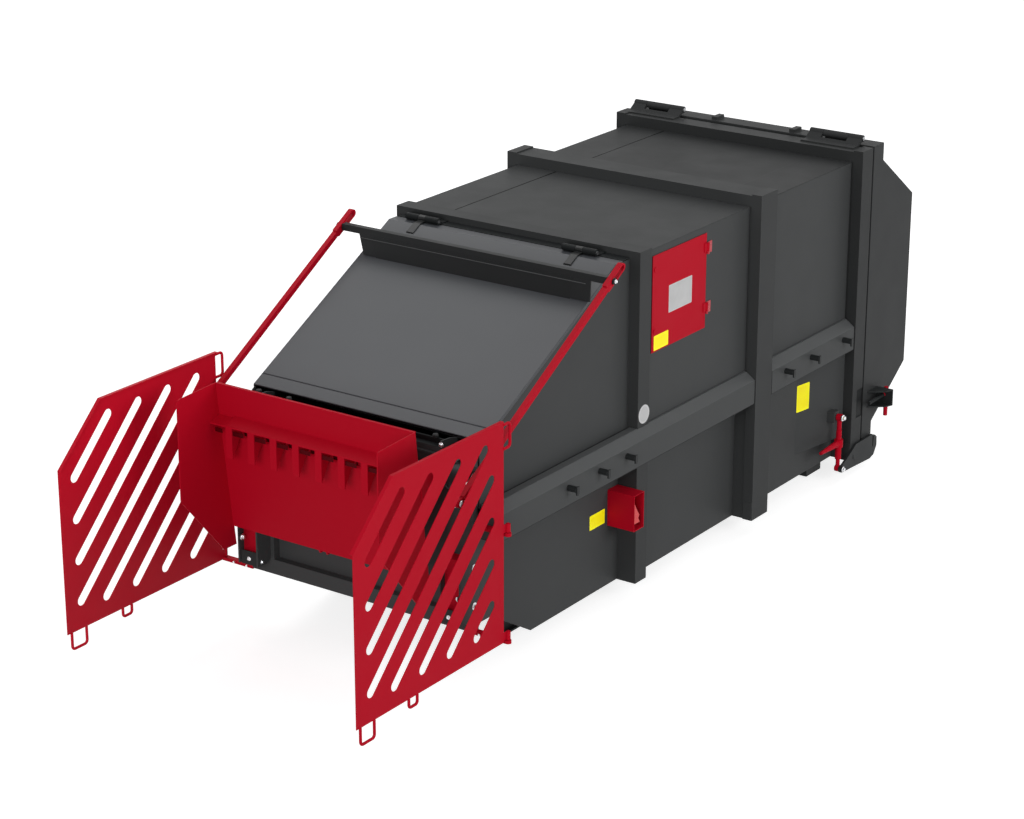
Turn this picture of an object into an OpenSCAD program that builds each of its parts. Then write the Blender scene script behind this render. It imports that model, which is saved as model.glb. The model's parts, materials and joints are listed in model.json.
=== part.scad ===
// Portable waste compactor: a closed steel container with a press and a
// tail-lifter for wheeled bins at one end and a top-hung door at the other.
// X runs across, Y along the body towards the rear door, Z up from the ground.
// Heights are above the ground; lengths start at the front face of the front hoop.

/* [Container body] */
// Length from the front face of the front hoop to the back of the rear hoop
body_l = 2904; // [2300:2:3500]
// Outside width over the upper side walls
body_w = 1862; // [1700:2:2200]
// Height of the roof above the ground
roof_z = 2334; // [2200:2:2800]
// Height of the lower edge of the side panels above the ground
base_z = 120; // [110:1:180]
// How far the lower side panels stand in from the upper ones
lower_inset = 71; // [55:1:90]
// Height of the step between the lower and the upper side panels
step_z = 1165; // [1100:1:1250]
// Thickness of the side, roof and door sheets
sheet = 5; // [3:0.5:8]
// Thickness of the floor plate
floor_t = 6; // [4:1:10]
// Height of the cross members under the floor
cross_h = 40; // [30:1:60]

/* [Hoops and rails] */
// Depth of the front hoop along the body
front_hoop_d = 131; // [100:1:160]
// How far the front hoop stands out from the upper walls
front_hoop_out = 19; // [15:1:24]
// Height of the front hoop above the roof
front_hoop_up = 20; // [10:1:40]
// Distance from the front of the body to the middle hoop
mid_hoop_y = 1363; // [1200:1:1500]
// Depth of the middle hoop
mid_hoop_d = 211; // [120:1:240]
// Depth of the rear hoop
rear_hoop_d = 148; // [120:1:200]
// How far the middle and rear posts stand out from the upper walls
hoop_out = 91; // [80:1:110]
// Width of the square tube of the posts
post_w = 75; // [60:1:85]
// Height of the beams over the roof
beam_h = 76; // [50:1:100]
// Height of the lower edge of the side rail
rail_z = 971; // [900:1:1010]
// Height of the outer face of the side rail
rail_face_h = 169; // [130:1:175]
// Height gained by the sloping top of the side rail
rail_slope_h = 51; // [40:1:60]
// Width of the sloping top of the side rail
rail_slope_w = 71; // [55:1:80]
// How far the side rail stands out from the upper walls
rail_out = 85; // [75:1:88]
// Gap between the middle hoop and the rear length of rail
rail_gap = 16; // [5:1:30]

/* [Press section] */
// How far the press section's walls stand in from the upper walls
press_inset = 61; // [50:1:75]
// How far its lower panels stand in from the container's lower panels
press_low_inset = 54; // [40:1:70]
// Distance from the front hoop to the front face of the end posts
press_l = 1662; // [1600:1:1800]
// Length of the level part of its underside
press_flat_l = 979; // [900:1:1050]
// Distance from the front hoop to the top of the raked underside
press_rake_l = 1400; // [1300:1:1450]
// Height of the raised front end of the underside
press_nose_z = 372; // [330:1:420]
// Width of an end post
end_post_w = 180; // [140:1:200]
// Depth of an end post
end_post_d = 60; // [50:1:80]
// Height of the loading edge
lip_z = 1512; // [1490:1:1530]
// Height of the press ram
ram_h = 678; // [600:1:700]
// Length of the press ram
ram_l = 680; // [640:1:700]
// Clearance of the ram over the floor
ram_gap = 6; // [4:1:10]
// Clearance of the ram beside its wear strips
ram_side_gap = 0.5; // [0.4:0.1:1]

/* [Lid] */
// Height of the top face of the lid's level part
lid_z = 2312; // [2280:1:2320]
// Distance from the front hoop to the bend in the lid
lid_bend_y = 172; // [160:1:200]
// Slope of the lid
lid_slope = 27.75; // [26:0.25:29]
// Distance from the front hoop to the lid's lower edge
lid_reach = 1570; // [1500:1:1590]
// Thickness of the lid
lid_t = 6; // [4:0.5:10]
// How far the lid oversails the side walls
lid_over = 13; // [8:1:16]
// Distance from the front hoop to the lid hinge
lid_hinge_y = 105; // [95:1:115]
// Height of the lid hinge above the lid
lid_hinge_up = 23; // [22.5:0.5:26]
// Outside diameter of the lid hinge barrels
lid_barrel_d = 44; // [36:1:44]
// Length of one lid hinge
lid_hinge_w = 255; // [200:5:300]
// Distance from the front hoop to the crossbar
crossbar_y = 468; // [440:1:500]
// Height of the crossbar
crossbar_z = 2309; // [2290:1:2330]
// Size of the crossbar's square tube
crossbar_s = 44; // [36:1:50]

/* [Bin lifter] */
// Distance from the front hoop to the lifter's shaft
lift_y = 1809.8; // [1790:0.1:1830]
// Height of the lifter's shaft
lift_z = 1425; // [1400:0.5:1450]
// Diameter of the lifter's shaft
lift_shaft_d = 70; // [50:1:80]
// Width over the lifter's cheeks
lifter_w = 1510; // [1400:2:1540]
// Height of the top edge of the lifter's back plate
lifter_top_z = 1756; // [1700:1:1800]
// Height of the bottom edge of the back plate
lifter_low_z = 785; // [740:1:850]
// Distance of the back plate's bottom edge from the front hoop
lifter_low_y = 1950; // [1940:1:1980]
// Tilt of the back plate
lifter_tilt = 6.9; // [4:0.1:9]
// Thickness of the lifter's plates
lifter_t = 8; // [6:1:12]
// Distance of the cheeks' front edge from the front hoop
cheek_y = 2422; // [2350:1:2450]
// Number of notches in the comb
comb_n = 7; // [5:1:8]
// Pitch of the comb's notches
comb_pitch = 172; // [150:1:180]
// Width of a notch
comb_slot_w = 122; // [90:1:126]
// Distance of the link's lower pin ahead of the shaft
crank_y = 233.2; // [220:0.1:250]
// Drop of the link's lower pin below the shaft
crank_z = 47.4; // [40:0.1:52]

/* [Lid links] */
// Distance of the links from the middle of the body
link_x = 1040; // [1035:1:1042]
// Size of the links' square tube
link_s = 34; // [28:1:38]
// Wall of the links' square tube
link_wall = 4; // [3:0.5:5]
// Diameter of the crossbar's end pins
link_pin_d = 24; // [20:1:28]
// Clearance of a crossbar pin in its slot, each side
link_slot_gap = 2; // [1.5:0.1:3]
// Travel of the pin in its slot
link_travel = 130; // [120:1:150]
// Width of the slotted head
link_head_w = 52; // [46:1:64]
// Diameter of the links' lower pins
crank_pin_d = 26; // [20:1:28]

/* [Side gates] */
// Distance of a gate's outer face from the middle of the body
gate_x = 1098; // [1094:1:1110]
// Distance of a gate's rear edge from the front hoop
gate_rear_y = 1677; // [1670:1:1690]
// Length of a gate
gate_l = 1415; // [1200:5:1500]
// Height of a gate's lower edge
gate_z = 377; // [350:1:420]
// Height of a gate
gate_h = 1400; // [1200:5:1500]
// Length of the cut corner
gate_cut_l = 365; // [250:5:420]
// Height of the cut corner
gate_cut_h = 346; // [250:5:400]
// Thickness of a gate's sheet
gate_t = 5; // [3:0.5:6]
// Width of a gate's folded edge
gate_fold = 24; // [15:1:35]
// Number of slots in a gate
gate_slot_n = 8; // [5:1:8]
// Width of a slot
gate_slot_w = 66; // [50:1:80]
// Slope of the slots
gate_slot_slope = 45; // [40:0.5:50]
// Pitch of the slots along the gate
gate_slot_pitch = 263.6; // [240:0.1:290]
// Plain border beside the slots
gate_border = 91; // [80:1:120]
// Diameter of a gate's hinge pin
gate_pin_d = 16; // [14:1:20]

/* [Rear door] */
// Gap between the rear hoop and the door's frame
door_gap = 45; // [30:1:60]
// Depth of the door's frame
door_frame_d = 146; // [120:1:170]
// How far the door bulges behind its frame
door_bulge = 479; // [350:1:520]
// Half width of the door
door_x = 1007; // [990:1:1012]
// Height of the door's top edge above the rear hoop's beam
door_top_up = 6; // [0:1:12]
// Height of the door's bottom edge
door_low_z = 216; // [200:1:240]
// Height of the upper bend of the bulge
door_bend_top_z = 1944; // [1850:1:2000]
// Height of the lower bend of the bulge
door_bend_low_z = 662; // [640:1:700]
// Height of the door hinge above the door's top edge
door_hinge_up = 39; // [38:0.5:45]
// Outside diameter of the door hinge barrels
door_barrel_d = 50; // [44:1:60]

/* [Power pack] */
// Distance from the front hoop to the cabinet
cabinet_y = 168; // [150:1:200]
// Length of the cabinet door
cabinet_l = 649; // [600:1:700]
// Height of the cabinet's lower edge
cabinet_z = 1645; // [1600:1:1680]
// Height of the cabinet door
cabinet_h = 641; // [600:1:650]
// Depth of the cabinet
cabinet_d = 290; // [260:1:340]

/* [Hidden] */
$fn = 48;

// Paint colours
body_grey = [0.20, 0.21, 0.21];
dark_grey = [0.12, 0.13, 0.13];
signal_red = [0.66, 0.07, 0.13];
bright_steel = [0.75, 0.76, 0.77];
machine_blue = [0.16, 0.24, 0.33];

// Running clearance of a pin or shaft in its bore, each side
run_gap = 0.05;
// Clearance of a ratchet's rod in its barrel, each side
slide_gap = 0.1;
// Gap kept between painted parts that move past each other
move_gap = 3;
// Gap left at a welded or bolted seat that is not square
seat_gap = 0.2;

// Widths
upper_x = body_w / 2;
lower_x = upper_x - lower_inset;
hoop_x = upper_x + hoop_out;
front_hoop_x = upper_x + front_hoop_out;
rail_x = upper_x + rail_out;
press_x = upper_x - press_inset;
press_low_x = lower_x - press_low_inset;
lid_x = press_x + lid_over;

// Lengths
rear_hoop_y = body_l - rear_hoop_d;
door_y = body_l + door_gap;
door_frame_y = door_y + door_frame_d;
door_back_y = door_frame_y + door_bulge;
gate_front_y = gate_rear_y + gate_l;
end_sheet_y = press_l - end_post_d;

// The model's origin lies midway between the gates' front and the door's back
mid_y = (door_back_y - gate_front_y) / 2;

// Heights
floor_z = base_z + cross_h;
floor_top = floor_z + floor_t;
post_top_z = roof_z + beam_h + 9;
door_top_z = roof_z + beam_h + door_top_up;
ram_z = floor_top + ram_gap;
ram_top_z = ram_z + ram_h;
ram_front_y = -end_sheet_y + 22 + ram_l;

module placed() {
    translate([0, -mid_y, 0]) children();
}

module both_sides() {
    children();
    mirror([1, 0, 0]) children();
}

// A plate cut to an outline in Y and Z, from x0 outwards
module side_plate(x0, t, outline) {
    translate([x0, 0, 0]) rotate([90, 0, 90]) linear_extrude(t) polygon(outline);
}

// A bar of constant section in X and Z, from y0 rearwards
module long_bar(y0, l, section) {
    translate([0, y0 + l, 0]) rotate([90, 0, 0]) linear_extrude(l) polygon(section);
}

module block(low, high) {
    translate(low) cube(high - low);
}

module rod_x(x0, x1, y, z, d) {
    translate([x0, y, z]) rotate([0, 90, 0]) cylinder(d = d, h = x1 - x0);
}

module rod_y(y0, y1, x, z, d) {
    translate([x, y0, z]) rotate([-90, 0, 0]) cylinder(d = d, h = y1 - y0);
}

module rod_z(z0, z1, x, y, d) {
    translate([x, y, z0]) cylinder(d = d, h = z1 - z0);
}

// Section of a folded side panel: lower panel, outward step, upper panel
function folded_wall(x_low, x_up, top) = [
    [x_low - sheet, base_z], [x_low, base_z], [x_low, step_z - sheet], [x_up, step_z - sheet],
    [x_up, top], [x_up - sheet, top], [x_up - sheet, step_z], [x_low - sheet, step_z]
];

// ---- Container ----

runner_x = 530;
runner_w = 80;
runner_flange = 12;
runner_web = 10;
runner_front_y = -880;
cross_w = 60;
cross_n = 7;

module runner() {
    block([runner_x - runner_w / 2, runner_front_y, 0],
          [runner_x + runner_w / 2, body_l, runner_flange]);
    block([runner_x - runner_w / 2, runner_front_y, base_z - runner_flange],
          [runner_x + runner_w / 2, body_l, base_z]);
    block([runner_x - runner_web / 2, runner_front_y, runner_flange - 1],
          [runner_x + runner_web / 2, body_l, base_z - runner_flange + 1]);
}

module base_frame() {
    first_y = front_hoop_d + 20;
    last_y = body_l - cross_w;
    color(dark_grey) {
        both_sides() runner();
        for (i = [0 : cross_n - 1]) {
            y = first_y + i * (last_y - first_y) / (cross_n - 1);
            block([-lower_x + sheet, y, base_z], [lower_x - sheet, y + cross_w, floor_z]);
        }
        for (y = [-60, -420, -780])
            block([-press_low_x + sheet, y - cross_w / 2, base_z],
                  [press_low_x - sheet, y + cross_w / 2, floor_z]);
        both_sides() roller_housing();
    }
}

// Underside of the press section, raised by h
function press_underside(h) = [
    [-press_flat_l, base_z + h], [-press_rake_l, press_nose_z + h], [-end_sheet_y, press_nose_z + h]
];

module floor_plate() {
    color(dark_grey) {
        block([-lower_x + sheet, front_hoop_d, floor_z], [lower_x - sheet, body_l, floor_top]);
        side_plate(-press_low_x + sheet, 2 * (press_low_x - sheet), concat(
            [[front_hoop_d, floor_z]], press_underside(cross_h),
            [for (i = [2 : -1 : 0]) press_underside(cross_h + floor_t)[i]],
            [[front_hoop_d, floor_top]]));
    }
}

flare_l = 534;
flare_out = 90;
flare_z = 300;

// Swelling of the lower wall ahead of the rear post, a box of sheet under the rail
module wall_flare() {
    t = sheet;
    y0 = rear_hoop_y - flare_l;
    difference() {
        translate([0, 0, flare_z]) linear_extrude(rail_z - flare_z)
            polygon([[lower_x - 1, y0], [lower_x, y0], [lower_x + flare_out, rear_hoop_y],
                     [lower_x - 1, rear_hoop_y]]);
        translate([0, 0, flare_z + t]) linear_extrude(rail_z - flare_z)
            polygon([[lower_x, y0 + 10 * t], [lower_x + flare_out - t, rear_hoop_y - t],
                     [lower_x, rear_hoop_y - t]]);
    }
}

module side_wall() {
    long_bar(front_hoop_d, body_l - front_hoop_d, folded_wall(lower_x, upper_x, roof_z - sheet));
    wall_flare();
    ratchet_boss();
}

cabinet_edge = 10;

module cabinet_opening() {
    block([upper_x - 2 * sheet, cabinet_y + cabinet_edge, cabinet_z + cabinet_edge],
          [upper_x + sheet, cabinet_y + cabinet_l - cabinet_edge,
           cabinet_z + cabinet_h - cabinet_edge]);
}

module side_wall_left() {
    color(body_grey) mirror([1, 0, 0]) side_wall();
}

module side_wall_right() {
    color(body_grey) difference() {
        side_wall();
        cabinet_opening();
    }
}

module roof_panel() {
    seam_x = 610;
    seam_w = 4;
    color(body_grey) difference() {
        block([-upper_x, front_hoop_d, roof_z - sheet], [upper_x, body_l, roof_z]);
        both_sides() block([seam_x - seam_w / 2, front_hoop_d - 1, roof_z - sheet / 3],
                           [seam_x + seam_w / 2, body_l + 1, roof_z + 1]);
    }
}

// ---- Hoops ----

function rail_section(x_in) = [
    [x_in, rail_z], [rail_x, rail_z], [rail_x, rail_z + rail_face_h],
    [rail_x - rail_slope_w, rail_z + rail_face_h + rail_slope_h],
    [upper_x, rail_z + rail_face_h + rail_slope_h], [upper_x, step_z - sheet],
    [x_in, step_z - sheet]
];

module hoop_front() {
    top = roof_z + front_hoop_up;
    beam_low = 2240;
    color(body_grey) difference() {
        long_bar(0, front_hoop_d, [
            [-front_hoop_x, base_z], [-press_low_x + sheet, base_z],
            [-press_low_x + sheet, step_z], [-press_x + sheet, step_z],
            [-press_x + sheet, beam_low], [press_x - sheet, beam_low],
            [press_x - sheet, step_z], [press_low_x - sheet, step_z],
            [press_low_x - sheet, base_z], [front_hoop_x, base_z],
            [front_hoop_x, top], [-front_hoop_x, top]]);
        both_sides() long_bar(-1, front_hoop_d + 2, rail_section(lower_x));
    }
}

// Posts and beam of a hoop that stands outside the walls
module outer_hoop(y0, d) {
    web_set = 8;
    foot_h = 130;
    both_sides() {
        block([hoop_x - post_w, y0, base_z], [hoop_x, y0 + d, post_top_z]);
        block([lower_x, y0 + web_set, base_z], [hoop_x - post_w, y0 + d - web_set, step_z - sheet]);
        block([upper_x, y0 + web_set, step_z - sheet],
              [hoop_x - post_w, y0 + d - web_set, roof_z]);
        block([hoop_x - post_w + 4, y0 - 3, base_z], [hoop_x - 4, y0, base_z + foot_h]);
    }
    block([post_w - hoop_x, y0, roof_z], [hoop_x - post_w, y0 + d, roof_z + beam_h]);
}

module hoop_mid() {
    color(body_grey) outer_hoop(mid_hoop_y, mid_hoop_d);
}

sill_d = 60;
sill_up = 46;
recess_l = 82;
recess_z = 433;
recess_h = 209;
recess_t = 4;

module hoop_rear() {
    color(body_grey) {
        difference() {
            outer_hoop(rear_hoop_y, rear_hoop_d);
            both_sides() block([hoop_x - recess_t, body_l - recess_l, recess_z],
                               [hoop_x + 1, body_l + 1, recess_z + recess_h]);
        }
        block([sheet - lower_x, body_l - sill_d, floor_top],
              [lower_x - sheet, body_l, door_low_z + sill_up]);
        both_sides() claw_pivot();
        door_hinge_seat();
    }
}

// ---- Side rails ----

rail_front_y = -press_l + 47;
rail_standoff_x = press_x + 20;
standoff_w = 40;
standoff_n = 3;

module side_rail() {
    foot = 3;
    long_bar(rail_front_y, -rail_front_y, [
        [rail_standoff_x, rail_z], [rail_x, rail_z], [rail_x, rail_z + rail_face_h],
        [rail_x - rail_slope_w, rail_z + rail_face_h + rail_slope_h],
        [rail_standoff_x, rail_z + rail_face_h + rail_slope_h]]);
    for (i = [0 : standoff_n - 1]) {
        y = rail_front_y + 80 + i * (-rail_front_y - 200) / (standoff_n - 1);
        block([press_low_x, y, rail_z + 30], [rail_standoff_x, y + standoff_w, step_z - 40]);
    }
    long_bar(0, mid_hoop_y - foot, rail_section(lower_x));
    long_bar(mid_hoop_y + mid_hoop_d + rail_gap,
             rear_hoop_y - foot - mid_hoop_y - mid_hoop_d - rail_gap, rail_section(lower_x));
}

module side_rail_left() {
    color(body_grey) mirror([1, 0, 0]) side_rail();
}

module side_rail_right() {
    color(body_grey) side_rail();
}

hook_front_y = [-880, -533, -223];
hook_back_from_rear = [1129, 774, 314];
hook_z = rail_z + 119;
hook_l = 65;
hook_d = 40;
hook_tab_t = 10;

// Round stub with a flat tab across its outer end, for a net or a sheet
module rail_hook(y) {
    rod_x(rail_x, rail_x + hook_l, y, hook_z, hook_d);
    side_plate(rail_x + hook_l - 1, hook_tab_t, [
        [y - 13, hook_z + 22], [y + 13, hook_z + 22], [y + 13, hook_z - 24],
        [y + 4, hook_z - 40], [y - 13, hook_z - 32]]);
}

module rail_hooks() {
    color(dark_grey) both_sides() {
        for (y = hook_front_y) rail_hook(y);
        for (d = hook_back_from_rear) rail_hook(body_l - d);
    }
}

// ---- Press section ----

lid_drop = tan(lid_slope);
// Height of the lid's top face at distance d in front of the hoop
function lid_top(d) = lid_z - max(0, d - lid_bend_y) * lid_drop;
lid_t_upright = lid_t / cos(lid_slope);
wall_top_gap = lid_t_upright + move_gap;
hinge_dip = 6;

module press_wall() {
    wall_top = lid_z - lid_t - hinge_dip;
    intersection() {
        long_bar(-end_sheet_y, end_sheet_y, folded_wall(press_low_x, press_x, lid_z));
        side_plate(press_low_x - sheet - 1, press_x - press_low_x + sheet + 2, concat(
            [[0, base_z]], press_underside(0),
            [[-end_sheet_y, lid_top(end_sheet_y) - wall_top_gap],
             [-lid_bend_y - hinge_dip, lid_top(lid_bend_y + hinge_dip) - wall_top_gap],
             [-lid_bend_y, wall_top], [0, wall_top]]));
    }
}

module press_wall_left() {
    color(body_grey) mirror([1, 0, 0]) press_wall();
}

module press_wall_right() {
    color(body_grey) press_wall();
}

end_post_x = 860;
end_beam_h = 100;
lip_ledge_z = lip_z - 37;
lip_ledge_d = 16;
lip_rail_t = 14;
lip_rail_h = 32;
fork_x = [705, 852];
fork_t = 12;
fork_d = 130;
fork_z = [455, 900];

// Upright plates that carry the lifter's stop
module stop_fork() {
    y = -press_l;
    for (x = fork_x)
        side_plate(x, fork_t, [
            [y, fork_z[0] + 30], [y, fork_z[1]], [y - fork_d + 60, fork_z[1]],
            [y - fork_d, fork_z[1] - 60], [y - fork_d, fork_z[0]], [y - 40, fork_z[0]]]);
}

module press_end_frame() {
    inner_x = end_post_x - end_post_w;
    nose_top = press_nose_z + cross_h + floor_t;
    color(body_grey) {
        both_sides() {
            block([inner_x, -press_l, press_nose_z], [end_post_x, -end_sheet_y, lip_z]);
            stop_fork();
        }
        block([-inner_x, -press_l, press_nose_z], [inner_x, -end_sheet_y, press_nose_z + end_beam_h]);
        block([-inner_x, -press_l, lip_z - end_beam_h], [inner_x, -end_sheet_y, lip_z]);
        block([-inner_x, -press_l - lip_ledge_d, lip_ledge_z - 12], [inner_x, -press_l, lip_ledge_z]);
        block([-inner_x, -end_sheet_y - sheet, nose_top - 1], [inner_x, -end_sheet_y, lip_z - 1]);
        block([-end_post_x, -end_sheet_y - lip_rail_t, lip_z - 1],
              [end_post_x, -end_sheet_y, lip_z + lip_rail_h]);
    }
}

chute_x = press_low_x - sheet;
chute_low_y = ram_front_y;
chute_low_z = ram_top_z + 20;

module loading_chute() {
    t = 6;
    color(dark_grey) {
        side_plate(-chute_x, 2 * chute_x, [
            [-end_sheet_y, lip_z - 10 - t], [chute_low_y, chute_low_z - t],
            [chute_low_y, chute_low_z], [-end_sheet_y, lip_z - 10]]);
        block([-chute_x, chute_low_y, ram_top_z + move_gap], [chute_x, chute_low_y + t, chute_low_z]);
    }
}

guide_z = ram_z + 320;
guide_h = 40;
ram_x = chute_x - 11;

module ram_guides() {
    color(bright_steel) both_sides()
        block([ram_x + ram_side_gap, -end_sheet_y, guide_z],
              [chute_x, -20, guide_z + guide_h]);
}

ram_skin = 10;
ram_face_t = 20;
ram_back_y = ram_front_y - ram_l;

// Side outline of the ram: it clears the raked floor behind its face
function ram_outline(inset) = [
    [ram_front_y, ram_z + inset], [ram_front_y, ram_top_z - inset],
    [ram_back_y, ram_top_z - inset],
    [ram_back_y, press_nose_z + cross_h + floor_t + 8 + inset],
    [-press_rake_l + 4, press_nose_z + cross_h + floor_t + 8 + inset],
    [-press_flat_l + 4, ram_z + 2 + inset]
];

module press_ram() {
    color(dark_grey) difference() {
        side_plate(-ram_x, 2 * ram_x, ram_outline(0));
        block([-ram_x + ram_skin, ram_back_y - 1, 0],
              [ram_x - ram_skin, ram_front_y - ram_face_t, ram_top_z - ram_skin]);
    }
}

ram_axis_z = 600;
barrel_d = 160;
stage_d = 130;
ram_rod_d = 100;
barrel_l = 432;
cap_l = 30;

module ram_barrel() {
    y0 = -end_sheet_y;
    color(machine_blue) difference() {
        rod_y(y0, y0 + barrel_l, 0, ram_axis_z, barrel_d);
        rod_y(y0 + cap_l, y0 + barrel_l + 1, 0, ram_axis_z, stage_d + 2 * run_gap);
    }
}

module ram_stage() {
    y0 = -end_sheet_y + cap_l + 2;
    color(bright_steel) difference() {
        rod_y(y0, y0 + barrel_l, 0, ram_axis_z, stage_d);
        rod_y(y0 + cap_l / 2, y0 + barrel_l + 1, 0, ram_axis_z, ram_rod_d + 2 * run_gap);
    }
}

module ram_rod() {
    y0 = -end_sheet_y + cap_l + cap_l / 2 + 4;
    color(bright_steel) {
        rod_y(y0, ram_front_y - ram_face_t - 40, 0, ram_axis_z, ram_rod_d);
        rod_y(ram_front_y - ram_face_t - 40, ram_front_y - ram_face_t, 0, ram_axis_z, 180);
    }
}

// ---- Top deck and lid ----

deck_front_y = -80;
lid_edge_y = -92;
lid_axis_y = -lid_hinge_y;
lid_axis_z = lid_z + lid_hinge_up;
lid_hinge_x = [-655, 570];
strap_w = 56;
lid_pin_d = 24;
barrel_gap = 1;

module top_deck() {
    color(body_grey) difference() {
        union() {
            block([-press_x, deck_front_y, lid_z - lid_t], [press_x, 0, lid_z]);
            for (x = lid_hinge_x) {
                rod_x(x - lid_hinge_w / 2, x + lid_hinge_w / 2, lid_axis_y, lid_axis_z, lid_barrel_d);
                side_plate(x - lid_hinge_w / 2, lid_hinge_w, [
                    [lid_axis_y, lid_axis_z + 4], [lid_axis_y, lid_axis_z - 8],
                    [deck_front_y + 10, lid_z], [0, lid_z], [0, lid_z + 8],
                    [deck_front_y + 20, lid_z + 8]]);
            }
        }
        for (x = lid_hinge_x) {
            rod_x(x - lid_hinge_w, x + lid_hinge_w, lid_axis_y, lid_axis_z, lid_pin_d + 2 * run_gap);
            block([x - strap_w / 2 - barrel_gap, lid_axis_y - 60, lid_z - 1],
                  [x + strap_w / 2 + barrel_gap, lid_axis_y + 42, lid_axis_z + 60]);
        }
    }
}

module hinge_pins() {
    color(bright_steel) {
        for (x = lid_hinge_x)
            rod_x(x - lid_hinge_w / 2 - 4, x + lid_hinge_w / 2 + 4, lid_axis_y, lid_axis_z, lid_pin_d);
        for (x = door_hinge_x)
            rod_x(x - door_hinge_w / 2 - 5, x + door_hinge_w / 2 + 5,
                  door_axis_y, door_axis_z, door_pin_d);
        for (z = cab_hinge_z) {
            rod_z(z - 16, z + cab_hinge_h + 4, cab_hinge_x, cab_hinge_y, cab_pin_d);
            rod_z(z - 16, z - 2, cab_hinge_x, cab_hinge_y, cab_knuckle_d);
            block([upper_x, cab_hinge_y - 8, z - 16], [cab_hinge_x, cab_hinge_y + 14, z - 2]);
            block([upper_x, cab_hinge_y + 13, z - 16],
                  [upper_x + cab_leaf_t, cab_hinge_y + cab_leaf_l, z + cab_hinge_h]);
        }
    }
}

lid_side_h = 24;
lid_seam_y = 1480;
lid_seam_w = 5;

module lid_strap(x) {
    t = 8;
    end = 250;
    rod_x(x - strap_w / 2, x + strap_w / 2, lid_axis_y, lid_axis_z, lid_barrel_d);
    side_plate(x - strap_w / 2, strap_w, [
        [lid_axis_y, lid_axis_z + 6], [lid_axis_y - 10, lid_z + t + 8],
        [-lid_bend_y, lid_z + t], [-end, lid_top(end) + t], [-end, lid_top(end) - 1],
        [-lid_bend_y, lid_z - 1], [lid_axis_y, lid_z - 1]]);
}

module lid() {
    edge = lid_x - sheet;
    skirt_y = lid_bend_y + 60;
    color(body_grey) difference() {
        union() {
            side_plate(-lid_x, 2 * lid_x, [
                [lid_edge_y, lid_z], [-lid_bend_y, lid_z], [-lid_reach, lid_top(lid_reach)],
                [-lid_reach, lid_top(lid_reach) - lid_t_upright],
                [-lid_bend_y, lid_z - lid_t], [lid_edge_y, lid_z - lid_t]]);
            both_sides() side_plate(edge, sheet, [
                [-skirt_y, lid_top(skirt_y) - 1], [-lid_reach, lid_top(lid_reach) - 1],
                [-lid_reach, lid_top(lid_reach) - lid_side_h],
                [-skirt_y, lid_top(skirt_y) - lid_side_h]]);
            for (x = lid_hinge_x) lid_strap(x);
        }
        side_plate(-lid_x - 1, 2 * lid_x + 2, [
            [-lid_seam_y, lid_top(lid_seam_y) - lid_t / 2], [-lid_seam_y, lid_z],
            [-lid_seam_y - lid_seam_w, lid_z],
            [-lid_seam_y - lid_seam_w, lid_top(lid_seam_y + lid_seam_w) - lid_t / 2]]);
        for (x = lid_hinge_x)
            rod_x(x - lid_hinge_w, x + lid_hinge_w, lid_axis_y, lid_axis_z, lid_pin_d + 2 * run_gap);
    }
}

crossbar_top_x = 785;
crossbar_low_x = 750;
gusset_x = 250;
nut_gap = 1.5;
nut_t = 10;
nut_d = 40;
nut_x = link_x + link_s / 2 + nut_gap;
pin_end_x = nut_x + nut_t + 4;

// Height of a foot that stands on the lid's slope at distance d
function foot_on_lid(d) = lid_top(d) + seat_gap;

// Pin along X with a nut at its end
module end_pin(x0, y, z, d) {
    rod_x(x0, pin_end_x, y, z, d);
    rod_x(nut_x, nut_x + nut_t, y, z, nut_d);
}

module crossbar() {
    r = crossbar_s / 2;
    y = -crossbar_y;
    t = 8;
    y0 = y - r + 2;
    z0 = crossbar_z - r;
    foot_z = foot_on_lid(-y0);
    color(dark_grey) {
        block([-link_x + link_s / 2 + 4, y - r, crossbar_z - r],
              [link_x - link_s / 2 - 4, y + r, crossbar_z + r]);
        intersection() {
            side_plate(-crossbar_top_x, 2 * crossbar_top_x, [
                [y0, z0], [y0, foot_z], [y0 + t, foot_on_lid(-y0 - t)], [y0 + t, z0]]);
            long_bar(y0 - 1, t + 2, [
                [-crossbar_top_x, z0], [crossbar_top_x, z0],
                [crossbar_low_x, foot_z - 1], [-crossbar_low_x, foot_z - 1]]);
        }
        for (x = [-crossbar_low_x, -gusset_x, gusset_x - t, crossbar_low_x - t])
            side_plate(x, t, [
                [y0 + t, z0], [y + r, z0], [y + r + 40, foot_on_lid(crossbar_y - r - 40)],
                [y0 + t, foot_on_lid(-y0 - t)]]);
    }
    color(bright_steel) both_sides()
        end_pin(link_x - link_s / 2 - 4, y, crossbar_z, link_pin_d);
}

// ---- Lid links ----

lift_axis_y = -lift_y;
crank_pin_y = lift_axis_y - crank_y;
crank_pin_z = lift_z - crank_z;
link_dy = -crossbar_y - crank_pin_y;
link_dz = crossbar_z - crank_pin_z;
link_len = sqrt(link_dy * link_dy + link_dz * link_dz);
link_tilt = atan2(link_dz, link_dy);
link_sleeve_l = 210;

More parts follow.
